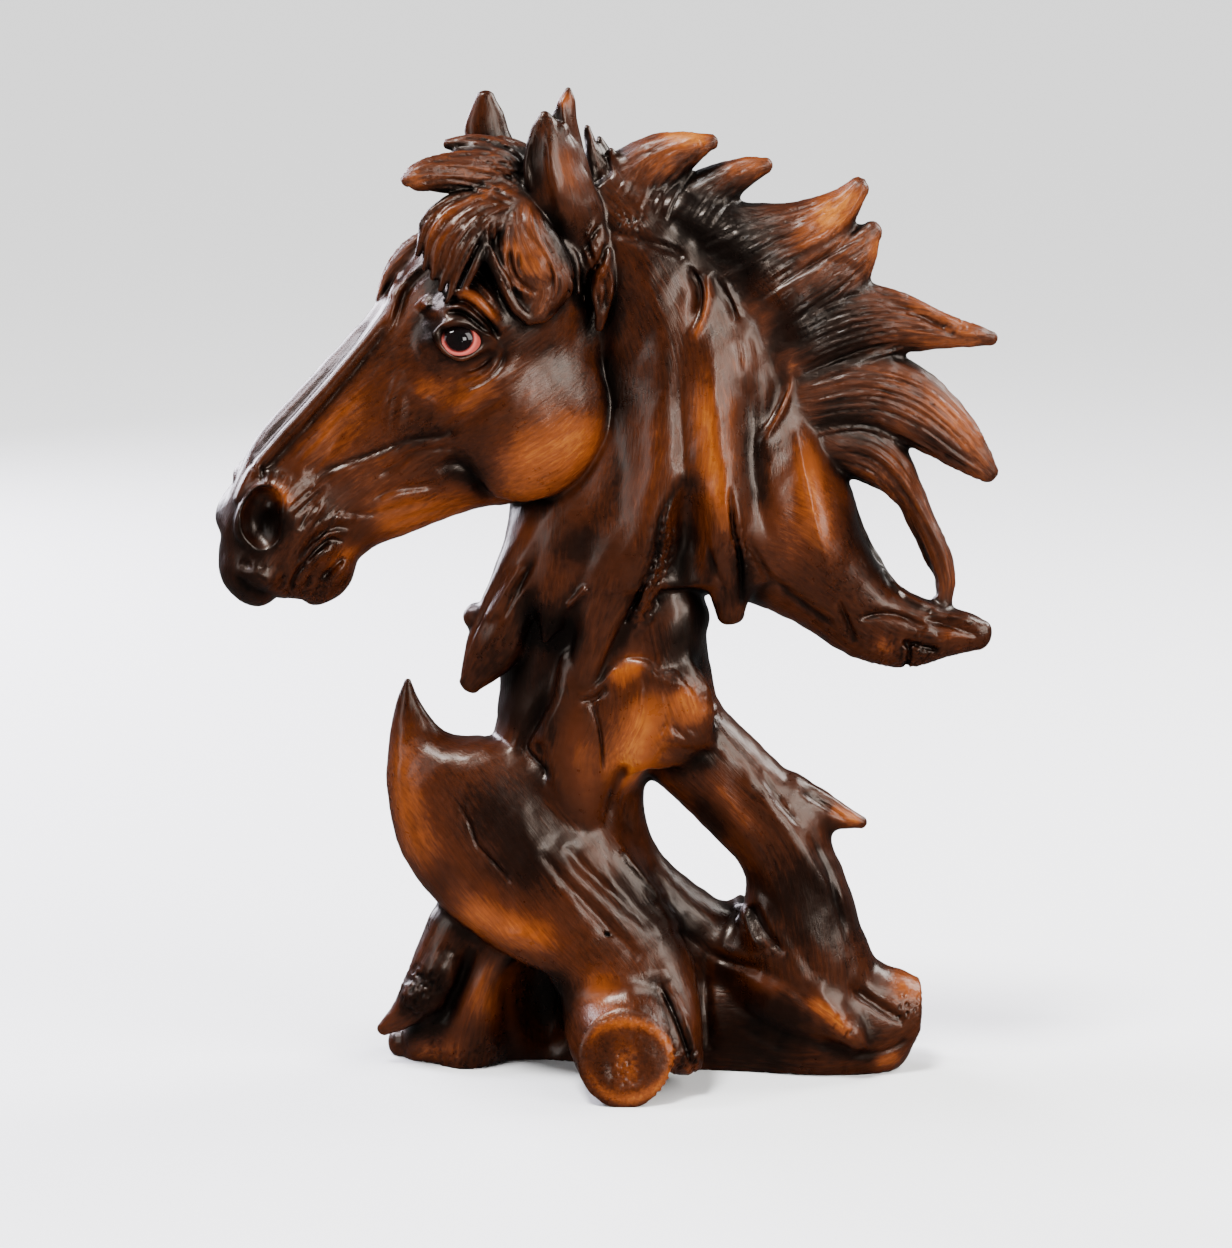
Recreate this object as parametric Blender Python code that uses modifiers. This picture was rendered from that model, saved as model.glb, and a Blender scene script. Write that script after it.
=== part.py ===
"""Horse head statue with a driftwood base, one resin casting, built in metres with +Z up.

The form is laid out on a view grid: u runs to the right and v runs down, as the statue is seen from
its left side from a little above, and depth runs away from the viewer. One grid unit is a share of
the statue's height, so the whole figure keeps its proportions when HEIGHT changes.
"""

import math

import bmesh
import bpy
import numpy as np
from mathutils import Matrix, Vector

# Driving sizes
HEIGHT = 0.380
FLOOR_CUT = 0.030
VOXEL = HEIGHT / 190
TRIANGLE_SHARE = 0.068
SMOOTH_PASSES = 2

# View grid
GRID = HEIGHT / 987
EYE_DISTANCE = 4000 * GRID
LOOK_DOWN = math.radians(10)
AIM_U = 616
AIM_V = 624
ORIGIN_U = 640
AIM_HEIGHT = 453.5 * GRID

# Head frame: the head turns toward the viewer about an upright line through the poll
HEAD_TURN = math.radians(20)
POLL_U = 565
POLL_V = 190
HEAD_SLOPE = math.radians(46)

LOFT_SIDES = 28
LOFT_STEPS = 4
CAP_RINGS = 3
LOCK_SIDES = 44
LOCK_FLUTES = 11
FLUTE_DEPTH = 0.09

# Ribs: u, v of one edge, u, v of the other edge, depth, half depth
NECK = (
    (552, 222, 622, 168, 0, 40),
    (572, 290, 690, 212, 0, 50),
    (590, 370, 758, 292, 0, 58),
    (566, 448, 800, 378, 0, 68),
    (526, 510, 826, 450, 0, 78),
    (514, 562, 842, 512, 0, 84),
    (500, 600, 770, 590, 0, 84),
    (520, 630, 690, 625, 0, 70),
)
TRUNK = (
    (520, 570, 716, 560, 4, 66),
    (500, 620, 704, 600, 4, 66),
    (497, 665, 702, 645, 4, 66),
    (500, 712, 706, 690, 4, 64),
    (498, 755, 668, 735, 4, 60),
)
SWEEP = (
    (800, 430, 650, 590, -4, 66),
    (848, 488, 735, 598, -8, 60),
    (872, 540, 795, 622, -12, 46),
    (902, 583, 850, 656, -16, 33),
    (940, 606, 905, 667, -20, 26),
    (968, 612, 946, 657, -22, 20),
    (984, 620, 976, 650, -22, 13),
)
HORN_SHEET = (
    (404, 682, 411, 681, -6, 5),
    (395, 708, 424, 708, -8, 13),
    (390, 738, 452, 735, -10, 24),
    (388, 790, 520, 742, -14, 44),
    (402, 852, 592, 790, -18, 56),
    (438, 900, 636, 850, -28, 58),
    (486, 940, 664, 908, -44, 54),
    (540, 972, 680, 958, -66, 48),
)
BODY = (
    (502, 716, 655, 706, 4, 60),
    (480, 762, 650, 752, 6, 60),
    (450, 808, 644, 800, 8, 60),
    (440, 850, 654, 842, 10, 60),
    (440, 890, 684, 876, 12, 60),
    (450, 925, 740, 914, 20, 60),
    (446, 960, 800, 948, 30, 58),
    (436, 1000, 850, 990, 40, 54),
    (430, 1040, 860, 1040, 46, 50),
)
RIGHT_LEG = (
    (600, 640, 700, 622, 0, 58),
    (628, 722, 716, 696, 0, 52),
    (650, 772, 756, 740, -2, 46),
    (680, 802, 794, 778, -4, 42),
    (710, 832, 826, 812, -6, 42),
    (742, 868, 834, 852, -8, 44),
    (744, 906, 852, 904, -10, 48),
    (738, 950, 872, 952, -12, 52),
    (730, 1000, 890, 1000, -12, 52),
)
LEFT_STUMP = (
    (600, 940, 600, 1080, 46, 50),
    (520, 925, 520, 1080, 46, 48),
    (464, 924, 470, 1078, 44, 46),
    (430, 952, 438, 1074, 42, 42),
    (408, 988, 414, 1068, 38, 33),
    (390, 1018, 396, 1052, 32, 15),
)
RIGHT_BASE = (
    (690, 962, 690, 1085, 10, 46),
    (750, 966, 750, 1085, 4, 50),
    (815, 966, 815, 1090, -4, 54),
    (868, 962, 872, 1082, -8, 50),
    (900, 970, 902, 1062, -8, 42),
    (918, 978, 914, 1040, -8, 35),
)

# Paths: u, v, depth, half width, half depth
LOCKS = {
    "mane_crest": (
        (612, 222, -4, 36, 34), (630, 182, -6, 36, 28), (662, 156, -8, 26, 20),
        (692, 147, -9, 14, 13), (713, 143, -10, 5, 6),
    ),
    "tuft_near": ((592, 190, -10, 20, 18), (590, 155, -12, 10, 12), (588, 129, -14, 3, 4)),
    "tuft_far": ((604, 190, 6, 22, 20), (606, 162, 6, 11, 12), (603, 138, 6, 3, 4)),
    "mane_second": (
        (660, 238, 6, 38, 32), (694, 202, 4, 26, 24), (728, 178, 2, 15, 16),
        (756, 168, 0, 10, 11), (768, 168, 0, 5, 6),
    ),
    "mane_third": (
        (690, 290, 0, 52, 40), (750, 248, 0, 42, 34), (800, 230, 0, 27, 26),
        (838, 207, 0, 18, 18), (859, 183, 0, 7, 8),
    ),
    "mane_fourth": (
        (755, 310, -2, 50, 38), (812, 276, -2, 42, 30), (852, 250, -2, 25, 20),
        (875, 227, -2, 7, 8),
    ),
    "mane_long": (
        (790, 345, 0, 50, 38), (848, 322, 0, 42, 30), (898, 324, 0, 28, 22),
        (942, 330, 0, 17, 15), (978, 336, 0, 9, 10), (994, 338, 0, 4, 5),
    ),
    "mane_low": (
        (800, 392, 0, 52, 38), (858, 388, 0, 42, 30), (904, 402, 0, 38, 24),
        (944, 430, 0, 29, 20), (974, 458, 0, 17, 14), (991, 477, 0, 6, 7),
    ),
    "mane_crescent": (
        (836, 430, 0, 38, 32), (880, 458, 0, 30, 24), (906, 492, 0, 15, 17),
        (923, 526, -2, 12, 14), (936, 560, -6, 11, 12), (942, 590, -12, 9, 11),
        (940, 612, -16, 7, 9),
    ),
    "throat_flap": (
        (534, 545, -8, 30, 40), (508, 600, -24, 26, 30), (488, 646, -32, 18, 20),
        (468, 684, -36, 8, 10),
    ),
    "hem_left": ((546, 556, -44, 26, 20), (540, 598, -54, 18, 14), (536, 632, -60, 5, 7)),
    "hem_middle": ((592, 545, -60, 28, 18), (588, 590, -68, 18, 13), (578, 624, -70, 5, 7)),
    "hem_ridge": (
        (668, 495, -66, 10, 14), (656, 550, -72, 14, 16), (640, 604, -76, 13, 14),
        (630, 650, -72, 5, 7),
    ),
    "hem_right": ((728, 552, -50, 26, 18), (727, 588, -52, 16, 13), (722, 614, -54, 5, 7)),
    "hem_last": ((752, 560, -46, 18, 18), (746, 595, -44, 10, 12), (743, 615, -42, 4, 6)),
    "neck_leaf": (
        (640, 215, -36, 18, 16), (680, 250, -46, 18, 14), (702, 290, -52, 12, 12),
        (700, 325, -58, 8, 9), (691, 345, -62, 3, 5),
    ),
    "mane_leaf": (
        (730, 300, -36, 20, 16), (775, 335, -44, 18, 14), (794, 380, -50, 12, 12),
        (784, 420, -58, 8, 9), (764, 448, -64, 3, 5),
    ),
    "bark_flap": (
        (628, 664, -54, 24, 18), (642, 704, -62, 46, 20), (640, 748, -62, 36, 20),
        (634, 792, -58, 20, 16), (626, 838, -54, 5, 8),
    ),
    "bark_corner": ((652, 690, -58, 24, 16), (686, 716, -50, 22, 14), (714, 743, -42, 6, 7)),
    "bark_strand": (
        (590, 640, -58, 20, 16), (570, 690, -60, 24, 18), (556, 740, -60, 28, 20),
        (570, 790, -60, 30, 20), (604, 832, -54, 16, 14),
    ),
    "leg_spike": ((794, 806, -6, 28, 24), (832, 819, -6, 17, 14), (861, 824, -6, 6, 6)),
    "ridge_root": (
        (650, 952, -42, 24, 30), (672, 1000, -60, 20, 24), (690, 1042, -70, 15, 18),
        (696, 1072, -74, 12, 14),
    ),
    "pointed_root": (
        (726, 948, -24, 36, 40), (776, 984, -44, 32, 32), (822, 1014, -56, 24, 24),
        (852, 1035, -62, 13, 13), (862, 1042, -64, 6, 7),
    ),
    "back_root_left": (
        (560, 940, 40, 40, 40), (520, 985, 78, 34, 34), (490, 1020, 108, 24, 24),
        (476, 1040, 126, 12, 12),
    ),
    "back_root_right": (
        (740, 940, 30, 44, 44), (780, 985, 68, 36, 36), (812, 1020, 98, 26, 26),
        (830, 1042, 118, 12, 12),
    ),
}

# Front root: u, v, depth, half width, half height of sections that face the viewer
FRONT_ROOT = (
    (600, 944, -34, 62, 54),
    (610, 984, -66, 53, 52),
    (618, 1022, -100, 48, 52),
    (622, 1048, -132, 47, 52),
    (623, 1058, -146, 45, 48),
)

# Head ribs on its middle plane: u, v of the top line, u, v of the under line, half width
SKULL = (
    (560, 200, 600, 420, 46),
    (500, 208, 585, 465, 62),
    (436, 246, 556, 492, 72),
    (396, 282, 518, 502, 70),
    (366, 318, 486, 506, 60),
    (336, 350, 456, 514, 52),
    (306, 382, 428, 525, 46),
    (277, 413, 400, 536, 43),
    (252, 440, 376, 545, 44),
    (233, 467, 356, 560, 45),
    (222, 496, 344, 578, 44),
    (216, 526, 326, 594, 40),
    (222, 556, 300, 600, 32),
    (234, 578, 272, 600, 20),
)
# Rounded masses of both sides of the head: u, v, side, half length, half height, half width
HEAD_MASSES = {
    "cheek": (530, 418, 44, 84, 80, 34),
    "brow": (462, 322, 54, 48, 34, 28),
    "temple": (520, 318, 44, 56, 44, 30),
    "nostril": (268, 512, 30, 38, 28, 18),
}
MIDDLE_MASSES = {
    "forehead": (452, 262, 0, 70, 40, 52),
    "upper_lip": (252, 566, 0, 32, 32, 38),
    "chin": (326, 574, 0, 34, 24, 28),
}
# Locks on the head: u, v, side, half width, half depth
FORELOCK = {
    "horn_lock": (
        (545, 190, 20, 30, 26), (500, 174, 30, 21, 20), (458, 168, 36, 17, 16),
        (428, 172, 40, 13, 12), (409, 182, 42, 7, 7),
    ),
    "upper_lock": (
        (536, 168, 0, 26, 24), (496, 154, 4, 18, 18), (468, 146, 6, 10, 11), (451, 142, 8, 5, 6),
    ),
    "front_lock": (
        (526, 200, 10, 34, 34), (472, 202, 16, 30, 30), (434, 222, 24, 22, 24),
        (416, 248, 32, 14, 16), (420, 284, 40, 6, 8),
    ),
    "middle_lock": (
        (528, 214, 50, 28, 22), (486, 228, 58, 24, 18), (456, 252, 64, 18, 15), (440, 284, 66, 7, 9),
    ),
    "looped_lock": (
        (526, 214, 60, 24, 20), (496, 238, 70, 20, 16), (492, 270, 76, 18, 14),
        (506, 298, 82, 14, 12), (521, 316, 84, 6, 7),
    ),
    "far_lock": (
        (520, 205, -40, 30, 26), (470, 222, -48, 26, 22), (436, 250, -50, 18, 16), (420, 282, -50, 7, 9),
    ),
    "cheek_lock": (
        (580, 222, 58, 18, 16), (600, 260, 62, 15, 14), (606, 298, 64, 12, 12), (608, 330, 62, 5, 6),
    ),
}
# Ears: u, v of the front edge, u, v of the back edge, side, half depth
NEAR_EAR = (
    (564, 92, 569, 92, 44, 3),
    (552, 108, 573, 110, 44, 8),
    (536, 130, 577, 136, 45, 13),
    (525, 160, 588, 166, 46, 17),
    (528, 198, 600, 200, 46, 19),
    (548, 238, 606, 232, 44, 20),
)
FAR_EAR = (
    (485, 94, 489, 94, -50, 3),
    (473, 112, 502, 115, -50, 9),
    (466, 134, 512, 138, -50, 14),
    (474, 168, 530, 168, -48, 17),
    (500, 205, 560, 200, -44, 18),
)
NOSTRIL_HOLE = (262, 524, 52, 30, 16, 24)
KNOBS = {
    "knob_left": (475, 617, 6, 13),
    "knob_right": (694, 614, -34, 19),
}

LACQUER = (0.105, 0.026, 0.008, 1.0)


def clear_scene():
    for thing in list(bpy.data.objects):
        bpy.data.objects.remove(thing, do_unlink=True)


def new_collection(name, hidden=False):
    made = bpy.data.collections.new(name)
    bpy.context.scene.collection.children.link(made)
    made.hide_render = hidden
    return made


# Where the grid lies in the world

EYE = Vector((
    (AIM_U - ORIGIN_U) * GRID,
    -EYE_DISTANCE * math.cos(LOOK_DOWN),
    AIM_HEIGHT + EYE_DISTANCE * math.sin(LOOK_DOWN),
))
HEAD_SIDE = Vector((math.sin(HEAD_TURN), -math.cos(HEAD_TURN), 0))


def seen_on_plane(u, v, point, normal):
    """The world point that shows at (u, v) on a plane."""
    right = (u - AIM_U) * GRID / EYE_DISTANCE
    rise = (AIM_V - v) * GRID / EYE_DISTANCE
    ray = Vector((
        right,
        math.cos(LOOK_DOWN) + rise * math.sin(LOOK_DOWN),
        rise * math.cos(LOOK_DOWN) - math.sin(LOOK_DOWN),
    ))
    reach = (point - EYE).dot(normal) / ray.dot(normal)
    return EYE + reach * ray


def seen(u, v, depth):
    return seen_on_plane(u, v, Vector((0, depth * GRID, 0)), Vector((0, 1, 0)))


HEAD_CENTRE = seen(POLL_U, POLL_V, 0)


def seen_on_head(u, v, side):
    """The world point at (u, v) at a distance to the side of the head's middle plane."""
    return seen_on_plane(u, v, HEAD_CENTRE + side * GRID * HEAD_SIDE, HEAD_SIDE)


# Sections: each is a centre and two half axes

def rib_sections(ribs):
    sections = []
    for u_one, v_one, u_two, v_two, depth, half_depth in ribs:
        one = seen(u_one, v_one, depth)
        two = seen(u_two, v_two, depth)
        sections.append(((one + two) / 2, (two - one) / 2, Vector((0, half_depth * GRID, 0))))
    return sections


def skull_sections(ribs):
    sections = []
    for u_top, v_top, u_under, v_under, half_width in ribs:
        top = seen_on_head(u_top, v_top, 0)
        under = seen_on_head(u_under, v_under, 0)
        sections.append(((top + under) / 2, (under - top) / 2, half_width * GRID * HEAD_SIDE))
    return sections


def ear_sections(ribs):
    sections = []
    for u_one, v_one, u_two, v_two, side, half_depth in ribs:
        one = seen_on_head(u_one, v_one, side)
        two = seen_on_head(u_two, v_two, side)
        sections.append(((one + two) / 2, (two - one) / 2, half_depth * GRID * HEAD_SIDE))
    return sections


def path_sections(path, place):
    """Sections square to a path: their wide axis lies in the plane of the view."""
    centres = [place(u, v, depth) for u, v, depth, half_width, half_depth in path]
    sections = []
    for index, (u, v, depth, half_width, half_depth) in enumerate(path):
        before = centres[max(index - 1, 0)]
        after = centres[min(index + 1, len(centres) - 1)]
        along = (after - before).normalized()
        outward = (EYE - centres[index]).normalized()
        across = along.cross(outward).normalized()
        deep = across.cross(along).normalized()
        sections.append((centres[index], across * half_width * GRID, deep * half_depth * GRID))
    return sections


def facing_sections(stations):
    sections = []
    for u, v, depth, half_width, half_height in stations:
        wide = Vector((half_width * GRID, 0, 0))
        tall = Vector((0, 0.25 * half_height * GRID, half_height * GRID))
        sections.append((seen(u, v, depth), wide, tall))
    return sections


def refined(sections):
    """The sections with smooth ones added between them, along a Catmull-Rom spline."""
    rows = np.array([[*centre, *wide, *deep] for centre, wide, deep in sections])
    padded = np.vstack([2 * rows[0] - rows[1], rows, 2 * rows[-1] - rows[-2]])
    smooth = []
    for index in range(1, len(padded) - 2):
        p0, p1, p2, p3 = padded[index - 1:index + 3]
        for step in range(LOFT_STEPS):
            t = step / LOFT_STEPS
            smooth.append(0.5 * (
                2 * p1 + (p2 - p0) * t + (2 * p0 - 5 * p1 + 4 * p2 - p3) * t ** 2
                + (3 * p1 - p0 - 3 * p2 + p3) * t ** 3
            ))
    smooth.append(rows[-1])
    return [(Vector(row[0:3]), Vector(row[3:6]), Vector(row[6:9])) for row in smooth]


def rounded_ends(sections, blunt):
    """Adds shrinking sections past each end, so that a loft ends in a dome."""
    first, last = sections[0], sections[-1]
    start = []
    end = []
    for ring in range(1, CAP_RINGS + 1):
        angle = ring / (CAP_RINGS + 0.5) * math.pi / 2
        for (centre, wide, deep), inner, out in ((first, sections[1], start), (last, sections[-2], end)):
            outward = (centre - inner[0]).normalized()
            bulge = min(wide.length, deep.length) * (0.15 if blunt else 0.9)
            size = math.cos(angle)
            out.append((centre + outward * bulge * math.sin(angle), wide * size, deep * size))
    return start[::-1] + sections + end


def add_loft(shape, sections, blunt=False, flutes=0):
    """Skins closed rings through the sections, the one shape that no primitive or bevel gives."""
    rings = []
    sides = LOCK_SIDES if flutes else LOFT_SIDES
    for centre, wide, deep in rounded_ends(refined(sections), blunt):
        ring = []
        for side in range(sides):
            angle = 2 * math.pi * side / sides
            reach = 1 + FLUTE_DEPTH * math.cos(flutes * angle) if flutes else 1
            rim = wide * math.cos(angle) + deep * math.sin(angle)
            ring.append(shape.verts.new(centre + rim * reach))
        rings.append(ring)
    for ring, following in zip(rings, rings[1:]):
        for side in range(sides):
            near = (side + 1) % sides
            shape.faces.new((ring[side], ring[near], following[near], following[side]))
    shape.faces.new(rings[0][::-1])
    shape.faces.new(rings[-1])


def add_ball(shape, centre, half_sizes, turn=None):
    axes = Matrix.Diagonal((*half_sizes, 1))
    turn = turn or Matrix.Identity(4)
    bmesh.ops.create_uvsphere(
        shape, u_segments=32, v_segments=20, radius=1.0,
        matrix=Matrix.Translation(centre) @ turn @ axes,
    )


def head_turn_matrix():
    """Turns X along the nose, Y to the far side and Z to the forehead."""
    along = Vector((-math.cos(HEAD_TURN) * math.cos(HEAD_SLOPE),
                    -math.sin(HEAD_TURN) * math.cos(HEAD_SLOPE),
                    -math.sin(HEAD_SLOPE)))
    side = HEAD_SIDE
    top = along.cross(side).normalized()
    return Matrix((along, side, top)).transposed().to_4x4()


def add_head_ball(shape, mass, mirrored=False):
    u, v, side, half_length, half_height, half_width = mass
    centre = seen_on_head(u, v, side)
    if mirrored:
        centre = centre - 2 * side * GRID * HEAD_SIDE
    half_sizes = (half_length * GRID, half_width * GRID, half_height * GRID)
    add_ball(shape, centre, half_sizes, head_turn_matrix())


def mesh_object(name, shape, collection):
    bmesh.ops.recalc_face_normals(shape, faces=shape.faces)
    mesh = bpy.data.meshes.new(name)
    shape.to_mesh(mesh)
    shape.free()
    made = bpy.data.objects.new(name, mesh)
    collection.objects.link(made)
    return made


def add_head(shape):
    add_loft(shape, skull_sections(SKULL))
    for mass in HEAD_MASSES.values():
        add_head_ball(shape, mass)
        add_head_ball(shape, mass, mirrored=True)
    for mass in MIDDLE_MASSES.values():
        add_head_ball(shape, mass)
    for path in FORELOCK.values():
        add_loft(shape, path_sections(path, seen_on_head), flutes=LOCK_FLUTES)
    add_loft(shape, ear_sections(NEAR_EAR))
    add_loft(shape, ear_sections(FAR_EAR))


def add_body(shape):
    for ribs in (NECK, TRUNK, SWEEP, HORN_SHEET, BODY, RIGHT_LEG, LEFT_STUMP):
        add_loft(shape, rib_sections(ribs))
    add_loft(shape, rib_sections(RIGHT_BASE), blunt=True)
    add_loft(shape, facing_sections(FRONT_ROOT), blunt=True)
    for name, path in LOCKS.items():
        flutes = LOCK_FLUTES if name.startswith(("mane", "tuft")) else 0
        add_loft(shape, path_sections(path, seen), flutes=flutes)
    for u, v, depth, radius in KNOBS.values():
        add_ball(shape, seen(u, v, depth), (radius * GRID,) * 3)


def nostril_cutter(collection):
    shape = bmesh.new()
    add_head_ball(shape, NOSTRIL_HOLE)
    add_head_ball(shape, NOSTRIL_HOLE, mirrored=True)
    cutter = mesh_object("nostril_cutter", shape, collection)
    cutter.hide_render = True
    cutter.display_type = "WIRE"
    return cutter


def floor_cutter(collection):
    shape = bmesh.new()
    reach = 2 * HEIGHT
    bmesh.ops.create_cube(
        shape, size=1.0,
        matrix=Matrix.Translation((0, 0, -FLOOR_CUT)) @ Matrix.Diagonal((reach, reach, 2 * FLOOR_CUT, 1)),
    )
    cutter = mesh_object("floor_cutter", shape, collection)
    cutter.hide_render = True
    cutter.display_type = "WIRE"
    return cutter


def add_remesh(statue, name):
    remesh = statue.modifiers.new(name, "REMESH")
    remesh.mode = "VOXEL"
    remesh.voxel_size = VOXEL
    remesh.adaptivity = 0


def add_cut(statue, name, cutter):
    cut = statue.modifiers.new(name, "BOOLEAN")
    cut.operation = "DIFFERENCE"
    cut.solver = "EXACT"
    cut.object = cutter


def lacquered_resin():
    material = bpy.data.materials.new("lacquered_resin")
    material.use_nodes = True
    shader = material.node_tree.nodes["Principled BSDF"]
    shader.inputs["Base Color"].default_value = LACQUER
    shader.inputs["Roughness"].default_value = 0.3
    shader.inputs["Metallic"].default_value = 0.0
    return material


def build():
    clear_scene()
    parts = new_collection("horse_head_statue")
    cutters = new_collection("cutters", hidden=True)
    shape = bmesh.new()
    add_head(shape)
    add_body(shape)
    statue = mesh_object("horse_head_statue", shape, parts)
    add_remesh(statue, "Join")
    add_cut(statue, "Nostrils", nostril_cutter(cutters))
    add_remesh(statue, "Join again")
    smooth = statue.modifiers.new("Smooth", "SMOOTH")
    smooth.factor = 0.5
    smooth.iterations = SMOOTH_PASSES
    fewer = statue.modifiers.new("Fewer faces", "DECIMATE")
    fewer.ratio = TRIANGLE_SHARE
    add_cut(statue, "Flat underside", floor_cutter(cutters))
    statue.data.materials.append(lacquered_resin())


build()
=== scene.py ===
"""The look of the horse head statue: its fine carving, lacquer, painted eyes, floor, light and camera.

The form is laid out on the same view grid as the solid: u to the right, v down, depth away from the
viewer. It is sculpted as a field of distances, in grid units, and skinned once at the end.
"""

import math

import bmesh
import bpy
import numpy as np
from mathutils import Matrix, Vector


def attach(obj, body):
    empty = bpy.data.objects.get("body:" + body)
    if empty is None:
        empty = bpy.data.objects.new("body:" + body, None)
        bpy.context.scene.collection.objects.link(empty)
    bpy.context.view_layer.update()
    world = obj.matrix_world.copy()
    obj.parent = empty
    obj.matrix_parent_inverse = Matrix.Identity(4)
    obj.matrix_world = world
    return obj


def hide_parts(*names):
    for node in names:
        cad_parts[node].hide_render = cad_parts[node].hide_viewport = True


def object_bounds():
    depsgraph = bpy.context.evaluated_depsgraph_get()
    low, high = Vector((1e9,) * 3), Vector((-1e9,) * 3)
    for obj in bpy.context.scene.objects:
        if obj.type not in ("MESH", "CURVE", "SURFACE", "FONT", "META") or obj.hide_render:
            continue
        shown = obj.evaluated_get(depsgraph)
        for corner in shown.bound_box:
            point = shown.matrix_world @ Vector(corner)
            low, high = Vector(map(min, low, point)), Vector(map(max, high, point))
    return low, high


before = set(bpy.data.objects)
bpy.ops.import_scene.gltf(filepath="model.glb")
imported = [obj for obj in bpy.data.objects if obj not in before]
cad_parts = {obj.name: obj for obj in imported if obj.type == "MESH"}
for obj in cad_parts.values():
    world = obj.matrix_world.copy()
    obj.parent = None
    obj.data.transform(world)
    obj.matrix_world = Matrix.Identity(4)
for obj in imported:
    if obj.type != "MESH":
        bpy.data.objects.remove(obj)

import openvdb
from mathutils import Matrix, Vector

CAD_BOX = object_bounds()

# View grid
HEIGHT = 0.380
GRID = HEIGHT / 987
EYE_DISTANCE = 4000
LOOK_DOWN = math.radians(10)
AIM_U = 616
AIM_V = 624
ORIGIN_U = 640
AIM_HEIGHT = 453.5
FRAME_WIDTH = 1232

# Head frame
HEAD_TURN = math.radians(20)
POLL_U = 565
POLL_V = 190
HEAD_SLOPE = math.radians(46)

# Skin
FINE = 1.8
ROOM = 16
MARGIN = 10
FAR_OFF = 60.0
COARSE = 4
MOST_TRIANGLES = 196000
LOFT_STEPS = 4
LINE_STEPS = 3
FAR_SHARE = 0.8
FOLD = 10
ROOT_LEAN = 0.25
# How far a loft bulges past its ends, as shares of its thickness
BLUNT_END = 0.15
ROUND_END = 0.9
# Locks: the share of the way over which strands rise, and the count above which a lock is hair
STRAND_START = 0.18
FEW_STRANDS = 6
# Fans: the seed of their draws, how far strands stray, and ridges and grooves as shares of a strand
FAN_SEED = 11
STRAY = 0.3
FAN_HEIGHTS = (0.4, 1.1)
THINNEST = 2.0
RIDGE_SHARE = 0.36
GROOVE_SHARE = 0.24
GROOVE_DEPTH = 1.4
# Lines: how far they reach in half widths, and how the ends of narrow and broad ones fade
LINE_REACH = 2.5
SHORT_END = 0.2
LONG_END = 0.35
BROAD_LINE = 8
# How near the skin points have to be to be drawn on or roughened
DRAWN_NEAR = 24
ROUGH_NEAR = 20
# Sizes of the lumps on rough places, and the heights and sizes of the whole skin's unevenness
LUMP = 17
SMALL_LUMP = 8
UNEVENNESS = ((0.7, 46), (0.12, 19))
# How near the skin the field is sampled again, and the size of a cell there in fine cells
CLOSER = ((14.0, 2), (8.0, 1))
# The skin's points and normals are drawn towards their neighbours' mean by these shares
PLACE_SHARE = 0.5
NORMAL_SHARE = 0.6
MOST_SETTLED = 1.5
# How much faster than the points the grain's coordinates may change before its pattern fades
JUMP = 3
# How far out along the normal the skin is felt for what stands near and further off; what hems it in
# darkens the lacquer as painted shade
CLOSE_SHADE_REACH = 6
WIDE_SHADE_REACH = 20

# Ribs: u, v of one edge, u, v of the other edge, depth, half depth
NECK = (
    (552, 222, 622, 168, 0, 40),
    (572, 290, 690, 212, 0, 50),
    (590, 370, 758, 292, 0, 58),
    (566, 448, 800, 378, 0, 68),
    (526, 510, 826, 450, 0, 78),
    (516, 556, 842, 506, 0, 82),
    (516, 580, 806, 566, 0, 74),
)
TRUNK = (
    (520, 570, 716, 560, 4, 62),
    (504, 620, 702, 600, 4, 62),
    (500, 665, 702, 645, 4, 62),
    (500, 712, 706, 690, 4, 62),
    (498, 755, 668, 735, 4, 60),
)
SWEEP = (
    (800, 430, 650, 590, -4, 66),
    (848, 488, 735, 598, -8, 60),
    (872, 540, 795, 622, -12, 46),
    (902, 583, 850, 656, -16, 33),
    (940, 606, 905, 667, -20, 26),
    (968, 612, 946, 657, -22, 20),
    (984, 620, 976, 650, -22, 13),
)
HORN_SHEET = (
    (404, 682, 411, 681, -6, 5),
    (395, 708, 424, 708, -8, 13),
    (390, 738, 452, 735, -10, 24),
    (388, 790, 520, 742, -14, 44),
    (402, 852, 592, 790, -18, 56),
    (438, 900, 636, 850, -28, 58),
    (486, 940, 664, 908, -44, 54),
    (540, 972, 680, 958, -66, 48),
)
BODY = (
    (502, 716, 655, 706, 4, 60),
    (480, 762, 650, 752, 6, 60),
    (450, 808, 644, 800, 8, 60),
    (440, 850, 654, 842, 10, 60),
    (440, 890, 684, 876, 12, 60),
    (450, 925, 740, 914, 20, 60),
    (446, 960, 800, 948, 30, 58),
    (436, 1000, 850, 990, 40, 54),
    (430, 1040, 860, 1040, 46, 50),
)
RIGHT_LEG = (
    (600, 640, 700, 622, 0, 58),
    (628, 722, 716, 696, 0, 52),
    (650, 772, 756, 740, -2, 46),
    (680, 802, 794, 778, -4, 42),
    (710, 832, 826, 812, -6, 42),
    (742, 868, 834, 852, -8, 44),
    (744, 906, 852, 904, -10, 48),
    (738, 950, 872, 952, -12, 52),
    (730, 1000, 890, 1000, -12, 52),
)
LEFT_STUMP = (
    (600, 940, 600, 1080, 46, 50),
    (520, 925, 520, 1080, 46, 48),
    (476, 930, 480, 1078, 32, 56),
    (440, 960, 444, 1072, 32, 48),
    (414, 1000, 416, 1066, 34, 38),
    (402, 1026, 404, 1058, 34, 20),
)
RIGHT_BASE = (
    (690, 962, 690, 1085, 10, 46),
    (750, 966, 750, 1085, 4, 50),
    (815, 966, 815, 1090, -4, 54),
    (868, 962, 872, 1082, -8, 50),
    (900, 970, 902, 1062, -8, 42),
    (918, 978, 914, 1040, -8, 35),
)
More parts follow.
